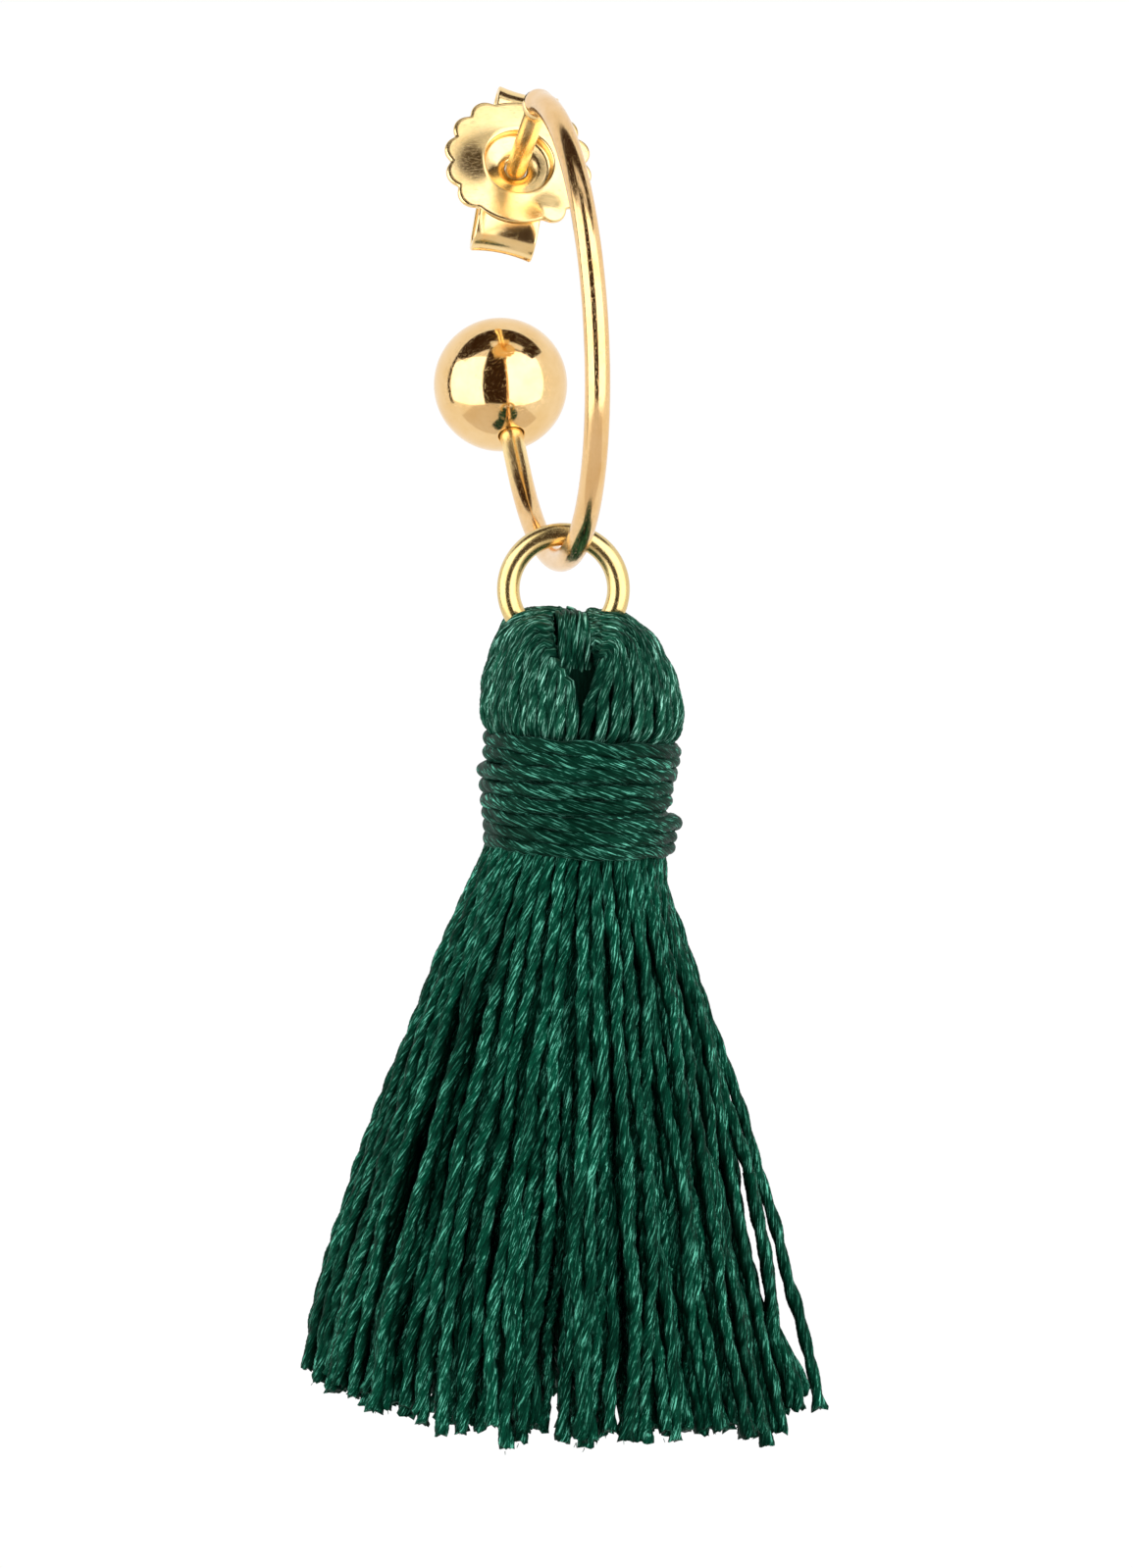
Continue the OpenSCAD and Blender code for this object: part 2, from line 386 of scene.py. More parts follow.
class Sock:
    """An output socket that takes part in Python expressions on numbers."""

    def __init__(self, tree: "Tree", socket: bpy.types.NodeSocket | None) -> None:
        """Keeps the socket and the tree that new nodes go to."""
        self.tree, self.socket = tree, socket

    def _math(self, operation: str, a: object, b: object) -> "Sock":
        """Adds one Math node on two values."""
        return self.tree.add("ShaderNodeMath", {"operation": operation}, {0: a, 1: b})

    def __add__(self, other: object) -> "Sock":
        """The sum."""
        return self._math("ADD", self, other)

    __radd__ = __add__

    def __sub__(self, other: object) -> "Sock":
        """The difference."""
        return self._math("SUBTRACT", self, other)

    def __rsub__(self, other: object) -> "Sock":
        """The difference, taken from the other value."""
        return self._math("SUBTRACT", other, self)

    def __mul__(self, other: object) -> "Sock":
        """The product."""
        return self._math("MULTIPLY", self, other)

    __rmul__ = __mul__

    def __pow__(self, other: object) -> "Sock":
        """The power."""
        return self._math("POWER", self, other)


class Tree:
    """The node tree of one material, world or light, with short ways to add to it."""

    def __init__(self, owner: bpy.types.ID) -> None:
        """Empties the owner's node tree and keeps it.

        Args:
            owner: The material, world or light.
        """
        owner.use_nodes = True
        self.nodes = owner.node_tree.nodes
        self.links = owner.node_tree.links
        self.nodes.clear()

    def add(
        self, kind: str, settings: dict[str, object], inputs: dict[int | str, object], out: int | str = 0
    ) -> Sock:
        """Adds a node.

        Args:
            kind: The node's type name.
            settings: Its properties, which are set first; a ramp's stops go under "stops".
            inputs: Values or sockets, by the input's name or place.
            out: The output to give back.

        Returns:
            That output, ready for expressions.
        """
        node = self.nodes.new(kind)
        for name, value in settings.items():
            if name == "stops":
                self._set_stops(node.color_ramp, value)
            else:
                setattr(node, name, value)
        for name, value in inputs.items():
            if isinstance(value, Sock):
                self.links.new(value.socket, node.inputs[name])
            else:
                node.inputs[name].default_value = value
        return Sock(self, node.outputs[out] if len(node.outputs) else None)

    @staticmethod
    def _set_stops(ramp: bpy.types.ColorRamp, stops: Rows) -> None:
        """Gives a ramp its stops.

        Args:
            ramp: The ramp.
            stops: Each stop's place and how light its grey is.
        """
        while len(ramp.elements) < len(stops):
            ramp.elements.new(0.5)
        for element, (place, grey) in zip(ramp.elements, stops):
            element.position = place
            element.color = (grey, grey, grey, 1)

    def lay(self, stretch: Stretch) -> Sock:
        """The place on the piece's own surface, in millimetres, scaled along each axis."""
        place = self.add("ShaderNodeAttribute", {"attribute_name": LAY}, {}, "Vector")
        return self.add("ShaderNodeVectorMath", {"operation": "MULTIPLY"}, {0: place, 1: stretch}, "Vector")

    def noise(self, place: Sock, scale: float, detail: float = 2, roughness: float = 0.5) -> Sock:
        """A noise from 0 to 1 at that place."""
        inputs = {"Vector": place, "Scale": scale, "Detail": detail, "Roughness": roughness}
        return self.add("ShaderNodeTexNoise", {}, inputs, "Fac")

    def ramp(self, value: Sock, *stops: Span) -> Sock:
        """A grey ramp read at the value."""
        return self.add("ShaderNodeValToRGB", {"stops": stops}, {0: value}, "Color")

    def mix(self, share: Sock, a: Sock | Colour, b: Sock | Colour) -> Sock:
        """A colour between a and b."""
        return self.add("ShaderNodeMix", {"data_type": "RGBA"}, {0: share, 6: a, 7: b}, 2)

    def bump(self, height: Sock) -> Sock:
        """A normal bent by a height in metres."""
        inputs = {"Height": height, "Distance": 1.0, "Strength": 1.0}
        return self.add("ShaderNodeBump", {}, inputs, "Normal")

    def shade(self, inputs: dict[int | str, object]) -> None:
        """Ends the tree in one Principled surface."""
        surface = self.add("ShaderNodeBsdfPrincipled", {}, inputs)
        self.add("ShaderNodeOutputMaterial", {}, {"Surface": surface})


@dataclass(frozen=True)
class Finish:
    """What every finish has: a name, and a way to become a material."""

    name: str

    def dress(self, tree: Tree) -> None:
        """Fills the material's empty node tree."""
        raise NotImplementedError

    def material(self) -> Material:
        """Makes the finish.

        Returns:
            The material, whose patterns follow each piece's own lay.
        """
        made = bpy.data.materials.new(self.name)
        self.dress(Tree(made))
        return made


@dataclass(frozen=True)
class GoldFinish(Finish):
    """Polished plate with faint ripples from forming and fine scratches.

    With satin set, it turns that much rougher where the wire's lay passes from satin_from to satin_full, and
    its colour goes over to a paler yellow there, painted light for the brighter light that part catches.
    The stops of a ramp hold a place and how light its grey is.
    """

    bright: Colour
    deep: Colour
    roughness: float = 0.07
    worn: float = 0.10
    scratched: float = 0.08
    cloud_scale: float = 1.1
    cloud_stops: tuple[Span, ...] = ((0.35, 0), (0.75, 1))
    ripple_scale: float = 2.3
    ripple_stretch: Stretch = (1.0, 1.0, 0.45)
    ripple_height: float = 2.2e-6
    scratch_scale: float = 5.0
    scratch_stretch: Stretch = (1.0, 14.0, 1.6)
    scratch_stops: tuple[Span, ...] = ((0.0, 1), (0.36, 1), (0.40, 0), (1.0, 0))
    scratch_height: float = 0.5e-6
    satin: float = 0.0
    satin_painted_tone: Colour = (0.98, 0.75, 0.36, 1)
    satin_from: float = 25.0
    satin_full: float = 27.0

    def dress(self, tree: Tree) -> None:
        """Fills the material's node tree.

        Args:
            tree: The tree, still empty.
        """
        cloud = tree.noise(tree.lay((1.0, 1.0, 1.0)), self.cloud_scale, detail=3, roughness=0.6)
        ripple = tree.noise(tree.lay(self.ripple_stretch), self.ripple_scale, detail=1)
        lines = tree.noise(tree.lay(self.scratch_stretch), self.scratch_scale, detail=3, roughness=0.7)
        scratch = tree.ramp(lines, *self.scratch_stops)
        tone = tree.mix(tree.ramp(cloud, *self.cloud_stops), self.bright, self.deep)
        rough = self.roughness + cloud**2 * self.worn + scratch * self.scratched
        if self.satin:
            along = tree.add("ShaderNodeSeparateXYZ", {}, {0: tree.lay((1.0, 1.0, 1.0))}, "Z")
            matt_and_painted_tone = tree.add("ShaderNodeMapRange", {}, {0: along, 1: self.satin_from, 2: self.satin_full})
            # Painted light: the tail and the post also turn a paler yellow, for the brighter light that they
            # catch.
            tone = tree.mix(matt_and_painted_tone, tone, self.satin_painted_tone)
            rough = rough + matt_and_painted_tone * self.satin
        tree.shade({
            "Base Color": tone,
            "Metallic": 1.0,
            "Roughness": rough,
            "Normal": tree.bump(ripple * self.ripple_height + (1 - scratch) * self.scratch_height),
        })


@dataclass(frozen=True)
class ThreadFinish(Finish):
    """Dyed twisted floss: fine fibres along each thread, some of which catch the light.

    Where fibres would catch the light, a painted glint shows as streaks in patches, painted in the light
    colour; they are partly metallic as well, so they also mirror the lights. Painted shade, read from
    the ridge attribute, darkens the plies' valleys and the thread's flanks. A second set of fibres, finer
    times as thin and for its width longer by 1 / fine_length, varies the roughness and the relief. The
    stops of a ramp hold a place and how light its grey is.
    """

    dark: Colour
    mid: Colour
    # The colour of the painted glint, where fibres would catch the light.
    light: Colour
    fibre_width: float = 0.045
    fibre_length: float = 0.48
    fibre_height: float = 20e-6
    finer: float = 2.3
    fine_length: float = 0.8
    patch_stretch: Stretch = (0.3, 0.3, 0.4)
    patch_share: float = 0.35
    fibre_share: float = 0.65
    painted_shade_stops: tuple[Span, ...] = ((0.12, 0.04), (0.80, 1))
    streak_stops: tuple[Span, ...] = ((0.56, 0), (0.68, 1))
    patch_stops: tuple[Span, ...] = ((0.38, 0.2), (0.62, 1))
    tone_stops: tuple[Span, ...] = ((0.40, 0), (0.62, 1))
    roughness: float = 0.36
    uneven: float = 0.2
    glint: float = 0.5
    gloss: float = 0.11
    gloss_tint: Colour = (0.15, 1.0, 0.6, 1)
    sheen: float = 0.0
    sheen_roughness: float = 0.2
    sheen_tint: Colour = (0.35, 0.85, 0.65, 1)

    def dress(self, tree: Tree) -> None:
        """Fills the material's node tree.

        Args:
            tree: The tree, still empty.
        """
        long_ways = self.fibre_width / self.fibre_length
        fine_ways = (1, 1, long_ways * self.fine_length)
        fibre = tree.noise(tree.lay((1, 1, long_ways)), 1 / self.fibre_width, roughness=0.6)
        fine = tree.noise(tree.lay(fine_ways), self.finer / self.fibre_width, detail=1)
        patch = tree.noise(tree.lay(self.patch_stretch), 1.0)
        ridge = tree.add("ShaderNodeAttribute", {"attribute_name": PAINTED_SHADE_ATTR}, {}, "Fac")
        # Painted shade: darkens the colour and holds glints back in the plies' valleys and on the flanks.
        painted_shade_factor = tree.ramp(ridge, *self.painted_shade_stops)
        # Painted glint: fibre streaks painted in the light colour and partly metallic, so they also mirror
        # the lights.
        painted_glint_and_shine = tree.ramp(fibre, *self.streak_stops) * tree.ramp(patch, *self.patch_stops) * painted_shade_factor
        tone = tree.ramp(patch * self.patch_share + fibre * self.fibre_share, *self.tone_stops) * painted_shade_factor
        tree.shade({
            "Base Color": tree.mix(painted_glint_and_shine, tree.mix(tone, self.dark, self.mid), self.light),
            "Metallic": painted_glint_and_shine * self.glint,
            "Roughness": self.roughness + fine * self.uneven,
            "Normal": tree.bump(fibre * self.fibre_height + fine * (self.fibre_height * 0.5)),
            "Specular IOR Level": self.gloss,
            "Specular Tint": self.gloss_tint,
            "Sheen Weight": self.sheen,
            "Sheen Roughness": self.sheen_roughness,
            "Sheen Tint": self.sheen_tint,
        })


@dataclass(frozen=True)
class PlainFinish(Finish):
    """An even glow for the floor and the cards round the earring."""

    colour: Colour
    glow: float

    def dress(self, tree: Tree) -> None:
        """Fills the material's node tree.

        Args:
            tree: The tree, still empty.
        """
        grain = tree.noise(tree.add("ShaderNodeTexCoord", {}, {}, "Object"), 3.0, 2)
        tree.shade({
            "Base Color": (0, 0, 0, 1),
            "Roughness": 0.9 + grain * 0.1,
            "Specular IOR Level": 0.0,
            "Emission Color": self.colour,
            "Emission Strength": self.glow,
        })


class Skin:
    """A mesh that grows piece by piece: points in millimetres, faces, and places for the finish."""

    def __init__(self) -> None:
        """Starts with nothing."""
        self.points: list[Array] = []
        self.lays: list[Array] = []
        self.faces: list[list[int]] = []
        self.count = 0

    def add_rings(self, rings: Array, lay: Array, looped: bool = False) -> None:
        """Adds a tube through rings of points, closed with a fan at both ends if it isn't looped.

        Args:
            rings: Points by ring and by place round the ring.
            lay: The points' places for the finish and, for thread, how light its painted shade leaves it, in
                the same order.
            looped: Whether the last ring joins the first.
        """
        n, m = rings.shape[:2]
        i = np.arange(n if looped else n - 1)[:, None] * m
        j = np.arange(m)[None, :]
        ahead = (i + m) % (n * m)
        after = (j + 1) % m
        faces = np.stack([i + j, i + after, ahead + after, ahead + j], -1).reshape(-1, 4).tolist()
        points, places = rings.reshape(-1, 3), lay.reshape(-1, lay.shape[-1])
        if not looped:
            points = np.concatenate([points, [rings[0].mean(0), rings[-1].mean(0)]])
            places = np.concatenate([places, [lay[0].mean(0), lay[-1].mean(0)]])
            first, last = n * m, n * m + 1
            faces += [[first, (k + 1) % m, k] for k in range(m)]
            faces += [[last, first - m + k, first - m + (k + 1) % m] for k in range(m)]
        if places.shape[1] == 3:
            places = np.concatenate([places, np.ones((len(places), 1))], 1)
        self.faces += [[i + self.count for i in face] for face in faces]
        self.points.append(points)
        self.lays.append(places)
        self.count += len(points)

    def build(
        self, name: str, finish: Material, body: Body, slot: Slot, stands_for: str = ""
    ) -> None:
        """Makes the object and puts it in the frame.

        Args:
            name: The piece's name.
            finish: Its material.
            body: The body that it rides on.
            slot: The record's material slot; not used.
            stands_for: The node that it replaces, if any.
        """
        mesh = bpy.data.meshes.new(name)
        mesh.from_pydata((np.concatenate(self.points) * MM).tolist(), [], self.faces)
        lay = np.concatenate(self.lays).astype(np.float32)
        mesh.attributes.new(LAY, "FLOAT_VECTOR", "POINT").data.foreach_set("vector", lay[:, :3].ravel())
        # Painted shade goes into an attribute of its own, which the thread finish darkens by.
        mesh.attributes.new(PAINTED_SHADE_ATTR, "FLOAT", "POINT").data.foreach_set("value", lay[:, 3].ravel())
        mesh.polygons.foreach_set("use_smooth", [True] * len(mesh.polygons))
        mesh.materials.append(finish)
        mesh.update()
        piece = put(name, mesh)
        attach(piece, body.value)
        if stands_for:
            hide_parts(stands_for)
        log.info("%s: %d triangles on %s", name, sum(len(face) - 2 for face in self.faces), body.value)


@dataclass(frozen=True)
class Thread:
    """Twisted thread: two plies pressed together as one grooved skin, with loose fibres where it is cut.

    Its finish has painted shade: it is lighter on the plies' ridges, from valley up, and on the side that
    faces outward, from flank on over flank_ease, so the valleys and the flanks are painted darker. It is
    laid from a place of its own, up to lay_apart away. Its loose fibres start about hair_root of its radius
    aside, and have a radius that falls off by hair_taper.
    """

    radius: float = 0.205
    groove: float = 0.052
    pitch: float = 2.0
    fibre_turn: float = 0.55
    step: float = 0.13
    ply_corners: tuple[float, ...] = (-90, -66, -40, -13, 13, 40, 66)
    pitch_spread: Span = (0.85, 1.15)
    swelling: float = 0.05
    swelling_l: Span = (2.2, 4.0)
    parting: float = 0.25
    parting_l: Span = (1.5, 3)
    fray_l: float = 0.5
    fray_swell: float = 0.15
    fray_spread: float = 0.45
    fray_uneven: Span = (-0.14, 0.06)
    hair_r: float = 0.013
    hair_taper: tuple[float, ...] = (1, 0.95, 0.8, 0.35)
    hair_l: Span = (0.06, 0.15)
    hair_n: int = 2
    hair_root: float = 0.45
    hair_lean: float = 0.30
    hair_bend: float = 0.35
    hair_sunk: float = 0.08
    valley: float = 0.4
    flank: float = 0.25
    flank_ease: float = 0.8
    lay_apart: float = 50

    def section(self, apart: Array) -> tuple[Array, Array]:
        """Works out the outline of two plies side by side.

        Args:
            apart: How far each ply's middle lies from the thread's middle, at each point of the thread.

        Returns:
            The corners' angles, and their distances from the middle at each point.
        """
        angles = np.radians([180 * k + corner for k in range(2) for corner in self.ply_corners])
        ply_r = self.radius - self.groove
        apart = np.reshape(apart, (-1, 1))
        reach = apart * np.abs(np.cos(angles)) + np.sqrt(ply_r**2 - (apart * np.sin(angles)) ** 2)
        return angles, reach

    @staticmethod
    def wave(s: Array, lengths: Span, rng: Rng) -> Array:
        """A wave along the thread, whose length lies between two bounds."""
        return np.sin(TAU * (s / rng.uniform(*lengths) + rng.uniform()))

    def spin(self, skin: Skin, path: Array, outward: Array, rng: Rng, frayed: bool = False) -> None:
        """Lays one thread along a path.

        Args:
            skin: The mesh that it goes into.
            path: Points of its middle line.
            outward: At each point, the direction away from the piece's middle.
            rng: The source of its small differences.
            frayed: Whether its last end is cut and opens into fibres.
        """
        points, side, s = resample(path, outward, self.step)
        way = unit(np.gradient(points, axis=0))
        side = across(side, way)
        other = np.cross(way, side)
        place = rng.uniform(0, self.lay_apart, 2)
        opening = ease((s - s[-1] + self.fray_l) / self.fray_l) if frayed else 0 * s
        swell = 1 + self.swelling * self.wave(s, self.swelling_l, rng) + self.fray_swell * opening
        spread = 1 + self.fray_spread * opening + self.parting * self.wave(s, self.parting_l, rng)
        angles, reach = self.section(self.groove * spread)
        reach = reach * swell[:, None]
        twist = rng.uniform(0, TAU) + TAU * s[:, None] / (self.pitch * rng.uniform(*self.pitch_spread))
        turn = angles + twist
        cos, sin = np.cos(turn)[..., None], np.sin(turn)[..., None]
        rings = points[:, None] + reach[..., None] * (cos * side[:, None] + sin * other[:, None])
        if frayed:
            rings[-1] += rng.uniform(*self.fray_uneven, (len(angles), 1)) * way[-1]
        # Painted shade: each point is painted darker down in the plies' valleys and on the flanks turned
        # away from outward, where neighbouring plies and threads would shade it.
        low, high = reach.min(1, keepdims=True), reach.max(1, keepdims=True)
        ridge = self.valley + (1 - self.valley) * (reach - low) / (high - low)
        leant = angles + twist * (1 - self.fibre_turn)
        lay = np.stack([
            reach * np.cos(leant) + place[0],
            reach * np.sin(leant) + place[1],
            0 * reach + s[:, None] + place[0],
            ridge * ease((cos[..., 0] + self.flank) / self.flank_ease),
        ], -1)
        skin.add_rings(rings, lay)
        if frayed:
            for _ in range(rng.integers(self.hair_n // 2, self.hair_n + 1)):
                aside = rng.normal(0, self.hair_root * self.radius, 3)
                aim = unit(way[-1] + rng.normal(0, self.hair_lean, 3))
                self.hair(skin, points[-1] + aside - self.hair_sunk * way[-1], aim, rng)

    def hair(self, skin: Skin, root: Array, aim: Array, rng: Rng) -> None:
        """Adds one bent fibre.

        Args:
            skin: The mesh that it goes into.
            root: Where it starts.
            aim: Its direction at the start.
            rng: The source of its length and bend.
        """
        length = rng.uniform(*self.hair_l)
        t = np.linspace(0, 1, len(self.hair_taper))[:, None]
        bend = across(rng.normal(0, 1, 3), aim) * rng.uniform(0, self.hair_bend)
        path = root + length * (aim * t + bend * t**2)
        up = across(np.array([0.3, 0.5, 0.8]), aim)
        rings = sweep(path, up, ring_of(3), self.hair_r * np.array(self.hair_taper))
        skin.add_rings(rings, rings)


@dataclass(frozen=True)
class ThreadRow:
    """One row of threads round the skirt.

    It says how many they are, how far out they lie as a share of the hem and, by turns, of the neck, and
    how unevenly they are spaced and lie outward.
    """

    count: int
    share: float
    layers: tuple[float, ...]
    thread: Thread
    jitter: float
    spread: float = 0.0


@dataclass
class Skirt:
    """The free threads below the binding.

    The rows of hem hold how far right a thread ends and how much longer it is cut, those of the openings a
    share of the length and how far the skirt has opened there, and those of the stray threads how far right
    and how far below the binding each point is seen. Those of tuft hold how far aside of the second stray
    thread another one lies, how much longer it is and how far back, and those of longer an angle and how
    much longer a thread is there. The pairs of stray_back say how far behind the middle the two stray
    threads start and end, and tuft_top, tuft_turn and tuft_end how far below the binding those of the tuft
    start, turn aside and are cut longer.
    """

    layout: Layout
    thread: Thread
    plain_thread: Thread
    inside_thread: Thread
    finish: Material
    length: float = 16.9
    cut_l: float = 16.42
    tucked: float = 0.35
    left_w: float = 7.45
    right_w: float = 6.65
    depth: float = 5.2
    neck_r: float = 2.27
    outer_n: int = 100
    layers: tuple[float, ...] = (1.0, 0.80, 1.0, 0.62)
    second: tuple[int, float] = (78, 0.90)
    second_layer: float = 0.72
    inner: tuple[tuple[int, float], ...] = ((72, 0.82), (50, 0.64), (32, 0.42))
    inner_layer: float = 0.6
    sunk: float = 1.7
    sunk_start: float = 0.15
    sunk_end: float = 1.3
    sunk_over: float = 0.9
    pressed: float = 0.10
    flare: float = 0.6
    curve_end: float = 1.12
    clump_counts: tuple[int, int] = (21, 34)
    clump_shares: Span = (0.48, 0.34)
    clump_phases: Span = (0.4, 2.0)
    clump_sway: Span = (1.3, 3.1)
    clump_turn: float = 2.2
    clump_start: float = 0.35
    wave: float = 0.11
    wave_counts: tuple[float, ...] = (0.8, 1.7, 3.2, 5.5)
    wave_fall: float = 0.7
    wave_outward: float = 0.7
    wave_start: float = 0.3
    wanderers: float = 0.12
    wander: Span = (0.3, 0.6)
    wander_from: float = 0.15
    wander_over: float = 0.7
    uneven: float = 0.13
    hem: Rows = (
        (-1.00, -0.50), (-0.90, -0.32), (-0.75, -0.22), (-0.50, -0.10), (-0.20, 0.00), (0.20, 0.00),
        (0.50, 0.05), (0.70, 0.30), (0.82, 0.75), (0.92, 0.50), (1.00, 0.00),
    )
    opening: Rows = (
        (0.00, 0.02), (0.06, 0.10), (0.20, 0.29), (0.40, 0.51), (0.60, 0.72), (0.80, 0.89), (1.00, 1.00),
    )
    right_opening: Rows = (
        (0.00, 0.00), (0.12, 0.07), (0.24, 0.23), (0.36, 0.38), (0.48, 0.50), (0.62, 0.60), (0.80, 0.77),
        (1.00, 1.00),
    )
    stray_right: Rows = (
        (1.95, -0.30), (2.35, 0.70), (3.05, 2.50), (4.00, 5.00), (4.95, 7.40), (5.66, 9.62), (5.98, 10.45),
        (6.22, 11.30), (6.46, 12.24), (6.78, 13.13), (7.05, 14.07), (7.28, 14.91), (7.52, 15.97),
    )
    stray_second: Rows = (
        (1.90, -0.30), (2.25, 0.70), (2.95, 2.60), (3.75, 5.00), (4.45, 7.00), (5.20, 9.07), (5.52, 10.45),
        (5.73, 11.30), (5.84, 11.90), (5.96, 12.68), (6.12, 13.80), (6.45, 14.47), (6.80, 15.30),
        (6.86, 15.85),
    )
    stray_back: tuple[Span, Span] = ((-0.2, -0.9), (-0.6, -1.7))
    # Which way the stray threads face: it turns their sections, and their painted flank shade falls away
    # from it.
    stray_facing: tuple[float, float, float] = (0.6, -0.8, 0)
    tuft: Rows = ((0.22, -0.45, -0.9), (-0.20, -0.05, -1.2), (-0.42, 0.25, -0.6))
    tuft_top: float = 8
    tuft_turn: float = 12.5
    tuft_end: float = 15.5
    tuft_back: float = 0.4
    longer: Rows = ((9.0, 0.45), (26.0, 0.3), (41.0, 0.3), (-20.0, 0.2))

    def clumping(self, angle: float, t: Array) -> Array:
        """Tells how far threads lean towards each other in clumps.

        Args:
            angle: Where a thread lies round the skirt.
            t: Shares of the length.

        Returns:
            Angles to add.
        """
        (few, many), (strong, weak), phases = self.clump_counts, self.clump_shares, self.clump_phases
        size, rate = self.clump_sway
        first = strong / few * np.sin(few * angle + size * np.sin(rate * t) + phases[0])
        second = weak / many * np.sin(many * angle - self.clump_turn * t + phases[1])
        return -ease(t / self.clump_start) * (first + second)

    def waves(self, t: Array, rng: Rng) -> Array:
        """Works out how a thread wanders, round the skirt and outward.

        Args:
            t: Shares of the length.
            rng: The source of its waves.

        Returns:
            Distances in two rows.
        """
        wave = np.zeros((2, len(t)))
        for count in self.wave_counts:
            size = rng.normal(0, self.wave, (2, 1)) / count**self.wave_fall
            wave += size * np.sin(TAU * (count * t + rng.uniform(0, 1, (2, 1))))
        wave *= ease(t / self.wave_start)
        if rng.uniform() < self.wanderers:
            gone = ease((t - self.wander_from) / self.wander_over)
            wave[0] += rng.choice([-1, 1]) * rng.uniform(*self.wander) * gone
        return wave

    def path(self, angle: float, share: float, layer: float, rng: Rng) -> tuple[Array, Array]:
        """Works out one thread of the skirt.

        Args:
            angle: Where it lies round the skirt, from straight ahead, in radians.
            share: How far out it lies at the hem.
            layer: How far out it lies at the neck.
            rng: The source of its waves.

        Returns:
            Its points and their outward directions, in the earring's frame.
        """
        t = np.linspace(0, self.curve_end, 150)
        past = np.maximum(t - 1, 0) * self.flare
        opened, narrow = (
            curve_rows(rows, np.minimum(t, 1))[:, 0] + past for rows in (self.opening, self.right_opening)
        )
        opened = opened + (narrow - opened) * max(math.sin(angle), 0)
        wave = self.waves(t, rng)
        below = ease(t / self.sunk_start) * ease((self.sunk_end - t) / self.sunk_over)
        sunk = self.sunk * (1 - layer) * below if share == 1 else 0 * t
        neck = self.neck_r * layer
        hem_w = self.left_w + (self.right_w - self.left_w) * ease(0.5 + math.sin(angle))
        out_x, out_y = (neck + (hem_r * share - neck) * opened - sunk for hem_r in (hem_w, self.depth))
        at = angle + self.clumping(angle, t) + wave[0] / np.maximum(out_x, 1)
        pressed = (
            self.pressed * rng.choice([-1, 1]) * ease(t / self.wave_start) + wave[1] * self.wave_outward
        )
        x, y = np.sin(at) * (out_x + pressed), -np.cos(at) * (out_y + pressed)
        z = -self.layout.hem_top + self.tucked - t * self.length
        outward = np.stack([np.sin(at), -np.cos(at), 0 * t], 1)
        points, ways, _ = resample(np.stack([x, y, z], 1), outward, 0.1, self.cut(angle, share, rng))
        return self.layout.from_tassel(points), ways

    def cut(self, angle: float, share: float, rng: Rng) -> float:
        """Works out the length to which a thread of the skirt is cut.

        Args:
            angle: Where it lies round the skirt, in radians.
            share: How far out it lies at the hem.
            rng: The source of the uneven cut.

        Returns:
            The length along the thread.
        """
        trim = curve_rows(self.hem, np.array([math.sin(angle) * share]))[0, 0]
        near = [more for degrees, more in self.longer if abs(math.degrees(angle) - degrees) < 2]
        extra = sum(near) if share == 1 else 0
        return self.tucked + self.cut_l + trim + extra + rng.normal(0, self.uneven)

    def stray(self, rows: Rows, back: Span) -> tuple[Array, Array]:
        """Works out a thread that hangs by itself beside the skirt.

        Args:
            rows: How far right and how far below the binding each of its points is seen.
            back: How far behind the middle it starts and ends.

        Returns:
            Its points and their outward directions, in the earring's frame.
        """
        x, down = np.array(rows).T
        y = back[0] + (back[1] - back[0]) * down / down[-1]
        at = np.linspace(down[0], down[-1], 160)
        read = curve_rows(np.stack([down, seen_at(x, y), y], 1), at)
        points = np.stack([read[:, 0], read[:, 1], -self.layout.hem_top - at], 1)
        return self.layout.from_tassel(points), np.tile(self.stray_facing, (len(at), 1))

    def tuft_rows(self, aside: float, more: float) -> Rows:
        """Works out the rows of a thread that lies beside the second stray one.

        Args:
            aside: How far right of the second stray thread it turns.
            more: How much longer it is.

        Returns:
            How far right and how far below the binding each of its points is seen.
        """
        return [
            (x + aside * ease((down - self.tuft_turn) / 3), down + (more if down > self.tuft_end else 0))
            for x, down in self.stray_second if down > self.tuft_top
        ]

    @staticmethod
    def quarter(angle: float) -> SkirtPart:
        """The quarter of the skirt at that angle from straight ahead, in radians."""
        half = "front" if abs(angle) < math.pi / 2 else "back"
        return SkirtPart(half + ("_left" if angle < 0 else "_right"))

    def lay_row(self, skins: dict[SkirtPart, Skin], row: ThreadRow, rng: Rng) -> None:
        """Lays one row of threads round the skirt.

        Args:
            skins: The mesh of each part.
            row: The row.
            rng: The source of its threads' differences.
        """
        for k in range(row.count):
            turn = TAU * (k + rng.uniform(-row.jitter, row.jitter)) / row.count
            angle = (turn + math.pi) % TAU - math.pi
            share = row.share * rng.uniform(1 - row.spread, 1 + row.spread) if row.spread else row.share
            path, outward = self.path(angle, share, row.layers[k % len(row.layers)], rng)
            part = SkirtPart.INSIDE if row.thread is self.inside_thread else self.quarter(angle)
            row.thread.spin(skins[part], path, outward, rng, frayed=True)

